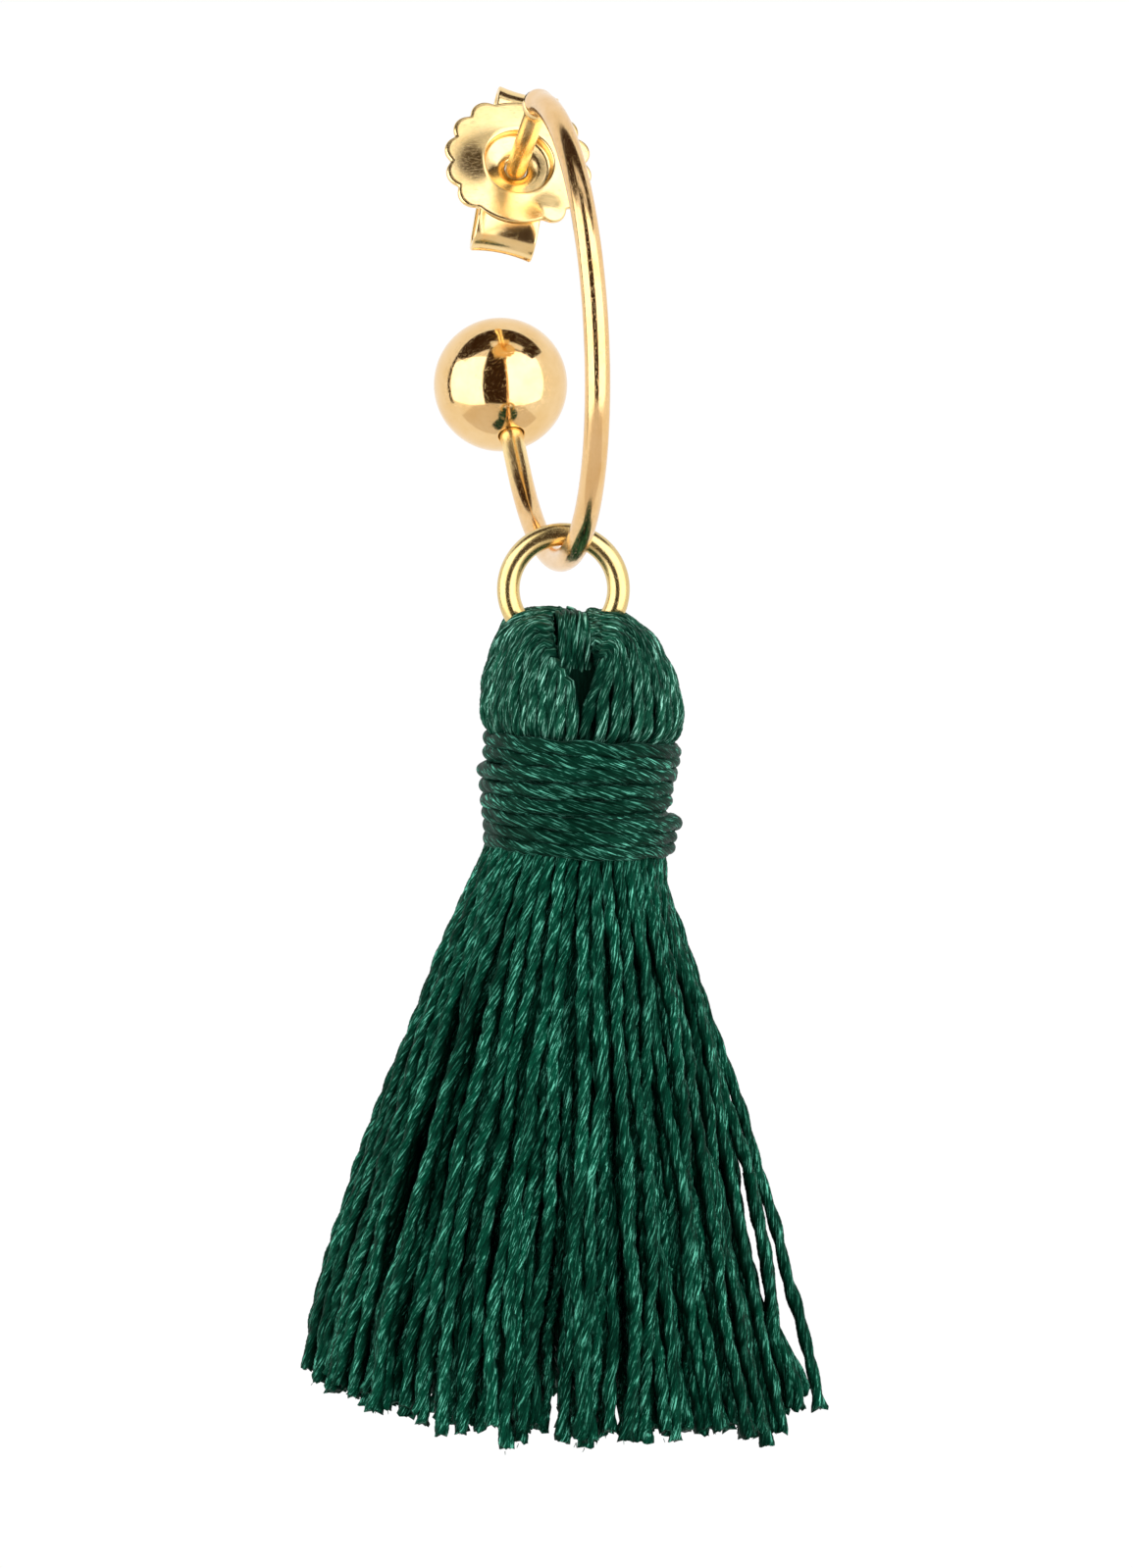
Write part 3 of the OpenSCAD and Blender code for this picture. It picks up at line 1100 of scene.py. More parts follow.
    def build(self) -> None:
        """Makes the skirt's pieces."""
        rng = np.random.default_rng(11)
        skins = {part: Skin() for part in SkirtPart}
        self.lay_row(skins, ThreadRow(self.outer_n, 1.0, self.layers, self.thread, jitter=0.25), rng)
        strays = list(zip((self.stray_right, self.stray_second), self.stray_back))
        for aside, more, back in self.tuft:
            strays.append((self.tuft_rows(aside, more), (back, back - self.tuft_back)))
        for rows, back in strays:
            path, outward = self.stray(rows, back)
            self.thread.spin(skins[SkirtPart.FRONT_RIGHT], path, outward, rng, frayed=True)
        second = ThreadRow(*self.second, (self.second_layer,), self.plain_thread, jitter=0.35, spread=0.04)
        self.lay_row(skins, second, rng)
        for count, share in self.inner:
            layers = (share * self.inner_layer,)
            row = ThreadRow(count, share, layers, self.inside_thread, jitter=0.3, spread=0.1)
            self.lay_row(skins, row, rng)
        for part, skin in skins.items():
            skin.build(f"skirt_{part.value}", self.finish, Body.DROP, Slot.THREAD)


@dataclass(frozen=True)
class Lobe:
    """One of the two halves into which the parting splits the head.

    Its threads start low_share of the way down beside the parting, and turn in late if turn_in is high. The
    rows of parting hold a depth and how far right the parting's edge is seen there.
    """

    side: Side
    low_share: float
    turn_in: float
    bulge: float
    parting: Rows


@dataclass
class Head:
    """The threads that loop over the jump ring and come down to the binding, parted in the middle.

    The form's rows hold a share of the way down, the depth, how wide it is on the left and on the right,
    and how deep it is. The core's rows hold a depth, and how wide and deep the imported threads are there.
    Those of the middle form hold a place along Y and how far below the top the bundle lies there.
    """

    layout: Layout
    thread: Thread
    thin_thread: Thread
    finish: Material
    lobes: tuple[Lobe, ...] = (
        Lobe(Side.LEFT, 0.77, 4.5, 0.0, (
            (0.0, -0.62), (0.7, -0.62), (1.2, -0.62), (1.65, -0.58), (2.05, -0.42), (2.75, -0.30),
            (4.4, -0.20),
        )),
        Lobe(Side.RIGHT, 0.65, 4.0, 0.15, (
            (0.0, 0.00), (0.5, 0.12), (1.2, 0.34), (1.5, 0.42), (2.0, 0.34), (2.6, 0.18), (3.45, 0.03),
            (4.4, 0.03),
        )),
    )
    lobe_n: int = 13
    foot_share: float = 1.08
    top_share: float = 0.10
    hook: float = 0.35
    parting_turn: float = -0.6
    parting_gap: float = 4.2
    parting_depth: float = 0.95
    bulge_fade: float = 2.2
    bulge_low: float = 1.4
    bulge_round: float = 1.3
    inset: float = 0.19
    unevenness: float = 0.04
    wander: float = 0.02
    wander_count: float = 1.4
    tuck: float = 0.15
    tuck_from: float = 0.96
    tuck_over: float = 0.08
    dive: float = 0.6
    dive_from: float = 0.88
    dive_over: float = 0.12
    form: Rows = (
        (0.00, 0.06, 0.00, 0.00, 0.00), (0.10, 0.02, 0.70, 0.60, 0.34), (0.20, 0.03, 1.28, 0.98, 0.66),
        (0.28, 0.13, 1.75, 1.27, 1.00), (0.38, 0.39, 2.22, 1.66, 1.44), (0.46, 0.66, 2.44, 1.98, 1.74),
        (0.54, 1.00, 2.60, 2.26, 1.98), (0.64, 1.45, 2.74, 2.52, 2.18), (0.74, 1.95, 2.85, 2.76, 2.35),
        (0.84, 2.50, 2.92, 2.90, 2.46), (0.93, 3.05, 2.92, 2.97, 2.51), (1.00, 3.55, 2.80, 2.88, 2.46),
        (1.12, 4.30, 2.40, 2.40, 2.20),
    )
    middle_x: tuple[float, ...] = (-0.86, -0.68, -0.50, -0.31, -0.13)
    middle_reach: float = 1.08
    middle_step: float = 0.05
    middle_drift: float = 0.03
    middle_form: Rows = (
        (0.0, 0.16), (0.30, 0.17), (0.60, 0.30), (0.85, 0.60), (1.00, 1.00), (1.05, 1.50), (1.08, 2.20),
    )
    core: Rows = (
        (0.22, 0.6, 0.15), (0.55, 1.1, 0.35), (1.2, 1.7, 0.9), (2.4, 2.2, 1.55), (3.6, 2.35, 2.2),
        (6.9, 2.2, 2.2),
    )
    core_below: float = 5.5
    core_opening: float = 0.25
    core_closing: float = 0.9
    core_ridges: int = 18
    core_ridge: float = 0.03
    core_lay: float = 4

    def surface(self, angle: Array, share: Array) -> Array:
        """Gives points of the head's form.

        Args:
            angle: Angles from straight ahead, in radians.
            share: Places between the top and the binding's edge.

        Returns:
            Points in the tassel's frame.
        """
        down, left, right, deep = curve_rows(self.form, share).T
        toward = np.sin(angle)
        return np.stack([toward * np.where(toward < 0, left, right), -np.cos(angle) * deep, -down], 1)

    def inside(self, angle: Array, share: Array, inset: Array) -> tuple[Array, Array]:
        """Gives points below the head's form.

        Args:
            angle: Angles from straight ahead, in radians.
            share: Places between the top and the binding's edge.
            inset: How far below the form each point lies.

        Returns:
            The points, and the form's normals there.
        """
        near = 0.01
        down = self.surface(angle, share + near) - self.surface(angle, share - near)
        round_it = self.surface(angle + near, share) - self.surface(angle - near, share)
        normal = unit(np.cross(down, round_it))
        return self.surface(angle, share) - inset[:, None] * normal, normal

    def lobe_thread(self, lobe: Lobe, u: float, half: Half, rng: Rng) -> tuple[Array, Array]:
        """Works out one thread of a lobe, from the parting to below the binding's edge.

        Args:
            lobe: The lobe.
            u: 0 for the thread next to the parting, 1 for the outermost.
            half: The half of the head that it lies on.
            rng: The source of its waves.

        Returns:
            Its points and their outward directions, in the earring's frame.
        """
        side = lobe.side.value
        start = lobe.low_share + (self.top_share - lobe.low_share) * u
        h = np.linspace(0, 1, 110)
        rise = math.pi / 2 + self.hook
        share = self.foot_share + (start - self.foot_share) * np.sin(rise * h) / math.sin(rise)
        down, left, right, deep = curve_rows(self.form, share).T
        edge = curve_rows(lobe.parting, down)[:, 0]
        groove = seen_at(edge + side * self.thread.radius, -self.parting_depth * deep)
        wide = left if side < 0 else right
        groove_angle = np.arcsin(np.clip(groove / np.maximum(wide, 0.1), -1, 1))
        inner_foot = VIEW_AZIMUTH + self.parting_turn + side * self.parting_gap
        foot = math.radians(inner_foot * (1 - u) + side * 90 * u)
        angle = groove_angle + (foot - groove_angle) * (1 - h**lobe.turn_in)
        bulge = lobe.bulge * (1 - u) ** self.bulge_fade
        angle += bulge * np.sin(math.pi * h**self.bulge_low) ** self.bulge_round
        angle += self.wander * np.sin(TAU * (h * self.wander_count + rng.uniform())) * (1 - h)
        inset = self.inset + self.unevenness * rng.choice([-1, 1]) * ease(2 - 2 * h)
        tucked = self.tuck * ease((share - self.tuck_from) / self.tuck_over)
        points, outward = self.inside(angle, share, inset + tucked)
        points[:, 1] += self.dive * ease((h - self.dive_from) / self.dive_over)
        mirror = np.array([1, half.value, 1])
        moved = self.layout.from_tassel(points[::-1] * mirror)
        room = self.layout.ring_wire_r + self.thread.radius
        return self.layout.clear_of_ring(moved, room, half), outward[::-1] * mirror

    def middle_thread(self, x: float, level: float, rng: Rng) -> tuple[Array, Array]:
        """Works out one thread of the bundle deep in the parting, from the front over the ring to the back.

        Args:
            x: How far right of the head's axis it passes over the ring.
            level: How much higher than the others it lies.
            rng: The source of its waves.

        Returns:
            Its points and their outward directions, in the earring's frame.
        """
        half = np.linspace(0, self.middle_reach, 60)
        y = np.concatenate([-half[::-1], half[1:]])
        down = curve_rows(self.middle_form, np.abs(y))[:, 0] - level
        drift = self.middle_drift * np.sin(TAU * (y / 2 + rng.uniform()))
        outward = np.stack([0 * y, y, 0.6 + 0 * y], 1)
        return self.layout.from_tassel(np.stack([x + drift, y, -down], 1)), unit(outward)

    def build(self) -> None:
        """Makes the head's threads."""
        rng = np.random.default_rng(5)
        skin = Skin()
        for half in Half:
            for lobe in self.lobes:
                for k in range(self.lobe_n):
                    path, outward = self.lobe_thread(lobe, k / (self.lobe_n - 1), half, rng)
                    self.thread.spin(skin, path, outward, rng)
        for k, x in enumerate(self.middle_x):
            path, outward = self.middle_thread(x, self.middle_step * (k % 2), rng)
            self.thin_thread.spin(skin, path, outward, rng)
        skin.build("head_threads", self.finish, Body.DROP, Slot.THREAD, "tassel")

    def build_inside(self, finish: Material) -> None:
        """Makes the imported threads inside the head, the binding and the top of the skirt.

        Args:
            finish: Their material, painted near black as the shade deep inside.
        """
        depths, wides, deeps = np.array(self.core).T
        down = np.linspace(depths[0], self.layout.hem_top + self.core_below, 64)
        below = np.clip((down - self.layout.hem_top) / self.core_below, 0, 1)
        grow = 1 + self.core_opening * below - self.core_closing * ease((below - 0.7) / 0.3)
        wide, deep = ((np.interp(down, depths, sizes) * grow)[:, None] for sizes in (wides, deeps))
        a = full_turn(72)
        ridge = 1 + self.core_ridge * np.sin(self.core_ridges * a)
        x, y = np.sin(a)[None] * ridge[None] * wide, -np.cos(a)[None] * ridge[None] * deep
        depth = down[:, None] + 0 * x
        rings = np.stack([x, y, -depth], -1)
        lay = np.stack([self.core_lay * np.cos(a) + 0 * x, self.core_lay * np.sin(a) + 0 * x, depth], -1)
        skin = Skin()
        skin.add_rings(self.layout.from_tassel(rings), lay)
        skin.build("packed_threads", finish, Body.DROP, Slot.THREAD)


@dataclass
class Binding:
    """One thread wound round the neck in eight turns, over a layer of turns that shows in the gaps.

    The rows of turns hold each turn's depth at the left, the front and the right, and those of proud how
    far it stands out there. Those of the start and the end hold an angle, a depth and how far out, and the
    wobbles a size and how many waves there are in a turn.
    """

    layout: Layout
    thread: Thread
    finish: Material
    radius: float = 2.575
    shifted: float = 0.03
    under_r: float = 2.36
    under_turns: float = 8.5
    under_from: float = 0.2
    under_short: float = 0.35
    start: Rows = ((-190.0, -0.05, -0.40), (-150.0, 0.06, 0.0))
    end: Rows = ((150.0, 3.02, 0.0), (200.0, 2.9, -0.45))
    wobbles: tuple[Span, Span] = ((0.012, 7.3), (0.010, 11.9))
    turns: Rows = (
        (0.13, 0.27, 0.35), (0.53, 0.62, 0.60), (1.03, 0.97, 1.00), (1.46, 1.46, 1.36),
        (1.89, 1.90, 1.71), (2.26, 2.42, 2.36), (2.64, 2.78, 2.74), (3.00, 3.16, 3.07),
    )
    proud: Rows = (
        (0.04, 0.05, 0.08), (0.0, 0.0, 0.05), (0.16, 0.02, 0.0), (0.06, -0.04, -0.10),
        (0.05, -0.04, -0.12), (0.0, 0.02, 0.16), (-0.05, 0.02, 0.04), (-0.08, 0.0, -0.04),
    )

    def around(self, degrees: Array, out: Array, down: Array) -> tuple[Array, Array]:
        """Works out points round the neck.

        Args:
            degrees: Angles from straight ahead towards the right.
            out: Distances from the neck's axis.
            down: Depths below the binding's top.

        Returns:
            The points and their outward directions, in the earring's frame.
        """
        a = np.radians(degrees)
        points = np.stack([np.sin(a) * out, -np.cos(a) * out, -self.layout.head_h - down], 1)
        return self.layout.from_tassel(points), np.stack([np.sin(a), -np.cos(a), 0 * a], 1)

    def over(self) -> tuple[Array, Array]:
        """Works out the wound thread that shows, with its start and end tucked in behind.

        Returns:
            Its points and their outward directions, in the earring's frame.
        """
        rows = list(self.start)
        for k, (depths, outs) in enumerate(zip(self.turns, self.proud)):
            for degrees, depth, out in zip((-90, 0, 90), depths, outs):
                rows.append((360.0 * k + degrees, depth + self.shifted, out))
        last = 360.0 * (len(self.turns) - 1)
        rows += [(last + degrees, depth, out) for degrees, depth, out in self.end]
        at = np.linspace(rows[0][0], rows[-1][0], 1600)
        down, out = curve_rows(rows, at).T
        a = np.radians(at)
        wobble = sum(size * np.sin(count * a) for size, count in self.wobbles)
        return self.around(at, self.radius + out, down + wobble)

    def under(self) -> tuple[Array, Array]:
        """Works out the layer of turns below.

        Returns:
            Its points and their outward directions, in the earring's frame.
        """
        at = np.linspace(90, 90 + 360 * self.under_turns, 1400)
        run_down = (self.layout.binding_h - self.under_short) * (at - at[0]) / (at[-1] - at[0])
        return self.around(at, self.under_r + 0 * at, self.under_from + run_down)

    def build(self) -> None:
        """Makes the binding."""
        rng = np.random.default_rng(3)
        skin = Skin()
        for path, outward in (self.over(), self.under()):
            self.thread.spin(skin, path, outward, rng)
        skin.build("binding_thread", self.finish, Body.DROP, Slot.THREAD, "tassel_binding")


@dataclass
class EarHoop:
    """The hoop's wire with the ear post soldered under its start.

    The post's fillet thins out from fillet_from on. Each wall of its grip groove is groove_wall long: it
    starts wall_outside beyond the groove's width and ends wall_inside within it.
    """

    layout: Layout
    finish: Material
    sides: int = 36
    past_solder: float = 0.33
    dome_l: float = 0.36
    solder_r: float = 0.41
    solder_l: float = 0.42
    fillet_t: float = 0.13
    fillet_from: float = 0.22
    fillet_l: float = 0.2
    fillet_end: float = 1.2
    groove_at: float = 1.2
    groove_w: float = 0.3
    groove_depth: float = 0.06
    groove_wall: float = 0.06
    wall_outside: float = 0.04
    wall_inside: float = 0.02
    post_lay: float = 40

    def add_wire(self, skin: Skin, path: Array, radius: Array, lay_from: Array) -> None:
        """Adds a round wire.

        Args:
            skin: The mesh that it goes into.
            path: Points of its middle line, in the hoop's plane.
            radius: Its radius at each point.
            lay_from: Where each point lies along the wire, for the finish.
        """
        lay = np.empty((len(path), self.sides, 3))
        lay[..., :2] = ring_of(self.sides) * WIRE_LAY
        lay[..., 2] = lay_from[:, None]
        rings = sweep(path, np.array([1.0, 0, 0]), ring_of(self.sides), radius)
        skin.add_rings(self.layout.from_hoop(rings), lay)

    @staticmethod
    def rounded(off: Array) -> Array:
        """The share of a wire's radius at places that lie from 0 to 1 of the way to its rounded tip."""
        return np.sqrt(np.clip(1 - np.clip(off, 0, 1) ** 2, 0.0004, 1))

    def wire(self, skin: Skin) -> None:
        """Adds the wire, from its rounded soldered end to the middle of the bead.

        Args:
            skin: The mesh that it goes into.
        """
        plan = self.layout
        start = 90 + plan.hoop_start
        past = math.degrees(self.past_solder / plan.hoop_r)
        arc = plan.on_hoop(np.concatenate([
            start - past + past * 2 * np.linspace(0, 1, 26)[:-1] ** 2,
            np.linspace(start + past, plan.tail_angle, 220),
        ]))
        tail = arc[-1] + np.linspace(0, 1, 26)[1:, None] * plan.tail_l * plan.tail_way
        path = np.concatenate([arc, tail])
        run = run_along(path)
        swell = (self.solder_r / plan.wire_r - 1) * np.exp(-(((run - self.dome_l) / self.solder_l) ** 2))
        radius = plan.wire_r * self.rounded(1 - run / self.dome_l) * (1 + swell)
        self.add_wire(skin, path, radius, run)

    def post(self, skin: Skin) -> None:
        """Adds the post with its solder fillet, grip groove and rounded tip.

        Args:
            skin: The mesh that it goes into.
        """
        plan = self.layout
        tip = plan.post_l
        groove = tip - self.groove_at
        half, wall, beyond = self.groove_w / 2, self.groove_wall, self.wall_outside
        stations = np.concatenate([
            np.linspace(0.0, self.fillet_end, 30),
            np.linspace(self.fillet_end + 0.05, groove - half - wall, 30),
            groove + np.linspace(-half - beyond, half + beyond, 16),
            np.linspace(groove + half + wall, tip - plan.post_r, 8)[:-1],
            tip - plan.post_r + plan.post_r * np.sin(np.linspace(0, math.pi / 2, 10)),
        ])
        off = np.maximum(stations - self.fillet_from, 0) / self.fillet_l
        fillet = self.fillet_t * np.exp(-(off**1.5))
        near_wall = ease((stations - groove + half + beyond) / wall)
        far_wall = ease((stations - groove - half + self.wall_inside) / wall)
        radius = plan.post_r + fillet - self.groove_depth * (near_wall - far_wall)
        radius *= self.rounded((stations - tip + plan.post_r) / plan.post_r)
        path = plan.wire_end + stations[:, None] * plan.post_way
        self.add_wire(skin, path, radius, stations + self.post_lay)

    def build(self) -> None:
        """Makes the hoop with its post."""
        skin = Skin()
        self.wire(skin)
        self.post(skin)
        skin.build("hoop_wire", self.finish, Body.HOOP, Slot.GOLD, "ear_hoop")


@dataclass
class EndBead:
    """The hollow-looking polished bead on the wire's straight end, drilled from one side."""

    layout: Layout
    finish: Material
    hole_r: float = 0.375
    hole_depth: float = 0.55
    lip_r: float = 0.06
    pole: float = 0.004
    sides: int = 128
    rows: int = 90

    def build(self) -> None:
        """Makes the bead, turned about the wire's end."""
        plan = self.layout
        edge = math.asin((self.hole_r + self.lip_r) / plan.bead_r)
        lip = np.linspace(math.pi, math.pi / 2, 8)[:-1]
        lip_z = -plan.bead_r * math.cos(edge) + self.lip_r
        profile = [(self.hole_r, -plan.bead_r * self.hole_depth)]
        rounded = [(self.lip_r * (1 + math.cos(a)), self.lip_r * math.sin(a)) for a in lip]
        profile += [(self.hole_r + out, lip_z - down) for out, down in rounded]
        ball = np.linspace(edge + self.pole, math.pi - self.pole, self.rows)
        profile += [(plan.bead_r * math.sin(a), -plan.bead_r * math.cos(a)) for a in ball]
        turn = full_turn(self.sides)
        first = np.array([1.0, 0, 0])
        spoke = np.cos(turn)[:, None] * first + np.sin(turn)[:, None] * np.cross(plan.tail_way, first)
        rings = np.stack([plan.bead_c + z * plan.tail_way + r * spoke for r, z in profile])
        skin = Skin()
        skin.add_rings(plan.from_hoop(rings), rings)
        skin.build("bead_on_wire_end", self.finish, Body.HOOP, Slot.GOLD, "end_bead")


@dataclass
class JumpRing:
    """The round ring that joins the tassel to the hoop."""

    layout: Layout
    finish: Material
    sides: int = 32
    steps: int = 144

    def build(self) -> None:
        """Makes the ring."""
        plan = self.layout
        a = full_turn(self.steps)
        spoke = np.stack([np.cos(a), 0 * a, np.sin(a)], 1)
        corner = ring_of(self.sides)
        flat = spoke[:, None] * (plan.ring_r + plan.ring_wire_r * corner[None, :, :1])
        flat[..., 1] += plan.ring_wire_r * corner[None, :, 1]
        lay = np.empty_like(flat)
        lay[..., :2] = corner * WIRE_LAY
        lay[..., 2] = plan.ring_r * np.minimum(a, TAU - a)[:, None]
        skin = Skin()
        skin.add_rings(flat @ plan.ring_turning.T + plan.ring_c, lay, looped=True)
        skin.build("jump_ring_wire", self.finish, Body.DROP, Slot.PALE_GOLD, "jump_ring")


@dataclass
class EarNut:
    """The stamped nut: a scalloped disc with a dimple pressed round the post, and two rolled strips behind.

    The rows of bumps hold where the plate is dented in X and Y, how deep, and how wide.
    """

    layout: Layout
    finish: Material
    disc_d: float = 4.35
    sheet_t: float = 0.2
    scallop_d: float = 0.85
    scallop_n: int = 5
    scallop_step: float = 24
    scallop_blend: float = 24
    dimple_r: float = 1.0
    dimple_depth: float = 0.35
    dimple_bend: float = 0.12
    funnel_r: float = 0.7
    bore_r: float = 0.33
    collar_l: float = 0.3
    edge_r: float = 0.07
    back_soft: float = 0.05
    dome: float = 0.06
    strip_w: float = 1.8
    strip_start: float = 1.45
    strip_soft: float = 0.06
    roll_d: float = 1.5
    reach: float = 2.65
    curl_d: float = 0.8
    curl_sweep: float = 130
    curl_gap: float = 0.04
    trough: float = 0.09
    bumps: Rows = ((-0.80, 0.18, 0.115, 0.62), (1.05, 1.45, 0.10, 0.46))
    disc_lay: float = 7.0

    def edge(self, angle: Array) -> Array:
        """How far the scalloped edge lies from the post's axis.

        Args:
            angle: Directions in the disc's plane, in radians.

        Returns:
            One distance for each direction.
        """
        scallop_r, blend = self.scallop_d / 2, self.scallop_blend
        pitch_r = self.disc_d / 2 - scallop_r
        reach = np.full_like(angle, pitch_r + self.scallop_d / 4)
        for side in (0, math.pi):
            for k in range(self.scallop_n):
                at = side + math.radians((k - (self.scallop_n - 1) / 2) * self.scallop_step)
                off = np.arctan2(np.sin(angle - at), np.cos(angle - at))
                inside = scallop_r**2 - (pitch_r * np.sin(off)) ** 2
                far = pitch_r * np.cos(off) + np.sqrt(np.maximum(inside, 0))
                bump = np.where((inside > 0) & (np.abs(off) < 1), far, 0)
                reach = np.logaddexp(reach * blend, bump * blend) / blend
        return reach

    def face(self, edge: Array, share: float) -> tuple[Array, Array]:
        """Works out one ring of the disc's face.

        Args:
            edge: How far the scalloped edge lies from the post's axis, in each direction.
            share: How far the ring lies on the way from the dimple to the edge.

        Returns:
            The ring's radius and height in each direction.
        """
        start, half = self.dimple_r + self.edge_r, self.disc_d / 2
        radius = start + (edge - self.edge_r - self.dimple_r - self.edge_r) * share
        return radius, self.dome * ((radius / half) ** 2 - (self.dimple_r / half) ** 2)

    def profile(self, edge: Array) -> list[tuple[Array | float, Array | float]]:
        """Works out the disc's surface, from the bore out over the face, round the edge and back behind.

        Args:
            edge: How far the scalloped edge lies from the post's axis, in each direction.

        Returns:
            The radius and the height of each ring of the surface.
        """
        t, wall, bore, bend, lip = self.sheet_t, self.dimple_r, self.bore_r, self.dimple_bend, self.edge_r
        floor, soft = self.dimple_depth, self.back_soft
        rows = [(bore, floor + t + self.collar_l), (bore, floor + t)]
        for k in np.linspace(0, 1, 6):
            rows.append((bore + (self.funnel_r - bore) * k, floor + t * (1 - k) ** 1.5))
        rows.append((wall - bend, floor))
        for k in np.linspace(0, math.pi / 2, 5)[1:]:
            rows.append((wall - bend + bend * math.sin(k), floor - bend * (1 - math.cos(k))))
        for k in np.linspace(0, math.pi / 2, 6):
            rows.append((wall + lip * (1 - math.cos(k)), lip - lip * math.sin(k)))
        for share in np.linspace(0, 1, 13)[1:]:
            rows.append(self.face(edge, share))
        radius, z = self.face(edge, 1.0)
        for k in np.linspace(0, math.pi, 9)[1:-1]:
            rows.append((radius + lip * math.sin(k), z + t / 2 * (1 - math.cos(k))))
        for share in np.linspace(1, 0, 6):
            radius, z = self.face(edge, share)
            rows.append((radius + bend * (1 - share), z + t))
        collar = floor + t + self.collar_l
        rows += [(wall + t, t + soft), (wall + t - 0.03, floor + t - soft), (wall + t - bend, floor + t)]
        rows += [(bore + t + soft, floor + t), (bore + t, floor + t + soft)]
        rows += [(bore + t, collar - 0.04), (bore + t - soft, collar)]
        return rows

    def disc(self, skin: Skin) -> None:
        """Adds the disc, dented by its bumps.

        Args:
            skin: The mesh that it goes into.
        """
        a = full_turn(240)
        rings = []
        for radius, z in self.profile(self.edge(a)):
            radius, z = np.ones(len(a)) * radius, np.ones(len(a)) * z
            for x, y, height, spread in self.bumps:
                far = (radius * np.cos(a) - x) ** 2 + (radius * np.sin(a) - y) ** 2
                z = z - height * np.exp(-far / spread**2) * ease((radius - self.funnel_r) / 0.25)
            rings.append(np.stack([radius * np.cos(a), radius * np.sin(a), z], -1))
        rings = np.stack(rings)
        skin.add_rings(self.layout.from_nut(rings), rings + self.disc_lay, looped=True)

    def strip_path(self) -> Array:
        """Works out the middle line of a strip.

        Returns:
            Its points, from inside the disc's edge round the roll to the small curl.
        """
        roll_r, curl_r, half = self.roll_d / 2, self.curl_d / 2, self.sheet_t / 2
        wide, tight = roll_r - half, curl_r - half
        roll_y = self.reach - roll_r
        curl_y = self.layout.post_r + self.curl_gap + curl_r
        run = np.linspace(self.strip_start, roll_y, 6)[:-1]
        turn = np.linspace(-math.pi / 2, math.pi / 2, 40)
        back = np.linspace(roll_y, curl_y, 8)[1:-1]
        curl = np.radians(90 + np.linspace(0, self.curl_sweep, 26))
        rows = [
            (run, np.full(len(run), half)),
            (roll_y + wide * np.cos(turn), roll_r + wide * np.sin(turn)),
            (back, np.full(len(back), self.roll_d - half)),
            (curl_y + tight * np.cos(curl), self.roll_d - curl_r + tight * np.sin(curl)),
        ]
        y, z = np.concatenate(rows, 1)
        return np.stack([0 * y, y, z + self.edge_r], 1)

    def strip_section(self) -> Array:
        """Works out a strip's section.

        Returns:
            The corners of its two broad faces, each with a shallow trough, and of its softened edges.
        """
        half_w, half_t, soft = self.strip_w / 2, self.sheet_t / 2, self.strip_soft
        section = []
        for side, up, start in ((1, 1, 0), (-1, 1, 90), (-1, -1, 180), (1, -1, 270)):
            for k in np.radians(np.linspace(start, start + 90, 5)):
                thick = up * (half_t - soft) + soft * math.sin(k)
                section.append((thick, side * (half_w - soft) + soft * math.cos(k)))
            if side == up:
                for k in np.linspace(1, -1, 9)[1:-1]:
                    section.append((up * half_t - self.trough * (1 - k * k), up * k * (half_w - soft)))
        return np.array(section)

    def strip(self, skin: Skin, turned: float) -> None:
        """Adds one rolled strip.

        Args:
            skin: The mesh that it goes into.
            turned: How far it is turned about the post, in degrees.
        """
        path, _, run = resample(self.strip_path(), self.strip_path(), 0.05)
        section = self.strip_section()
        up = np.cross(unit(np.gradient(path, axis=0)), [1.0, 0, 0])
        rings = sweep(path, up, section)
        thick, wide = section.T
        lay = np.stack([wide + 0 * run[:, None], thick + 0 * run[:, None], run[:, None] + 0 * thick], -1)
        skin.add_rings(self.layout.from_nut(rings @ about(Axis.Z, turned).T), lay + turned)

    def build(self) -> None:
        """Makes the nut."""
        skin = Skin()
        self.disc(skin)
        for turned in (0, 180):
            self.strip(skin, turned)
        skin.build("scroll_nut", self.finish, Body.NUT, Slot.GOLD, "ear_nut")


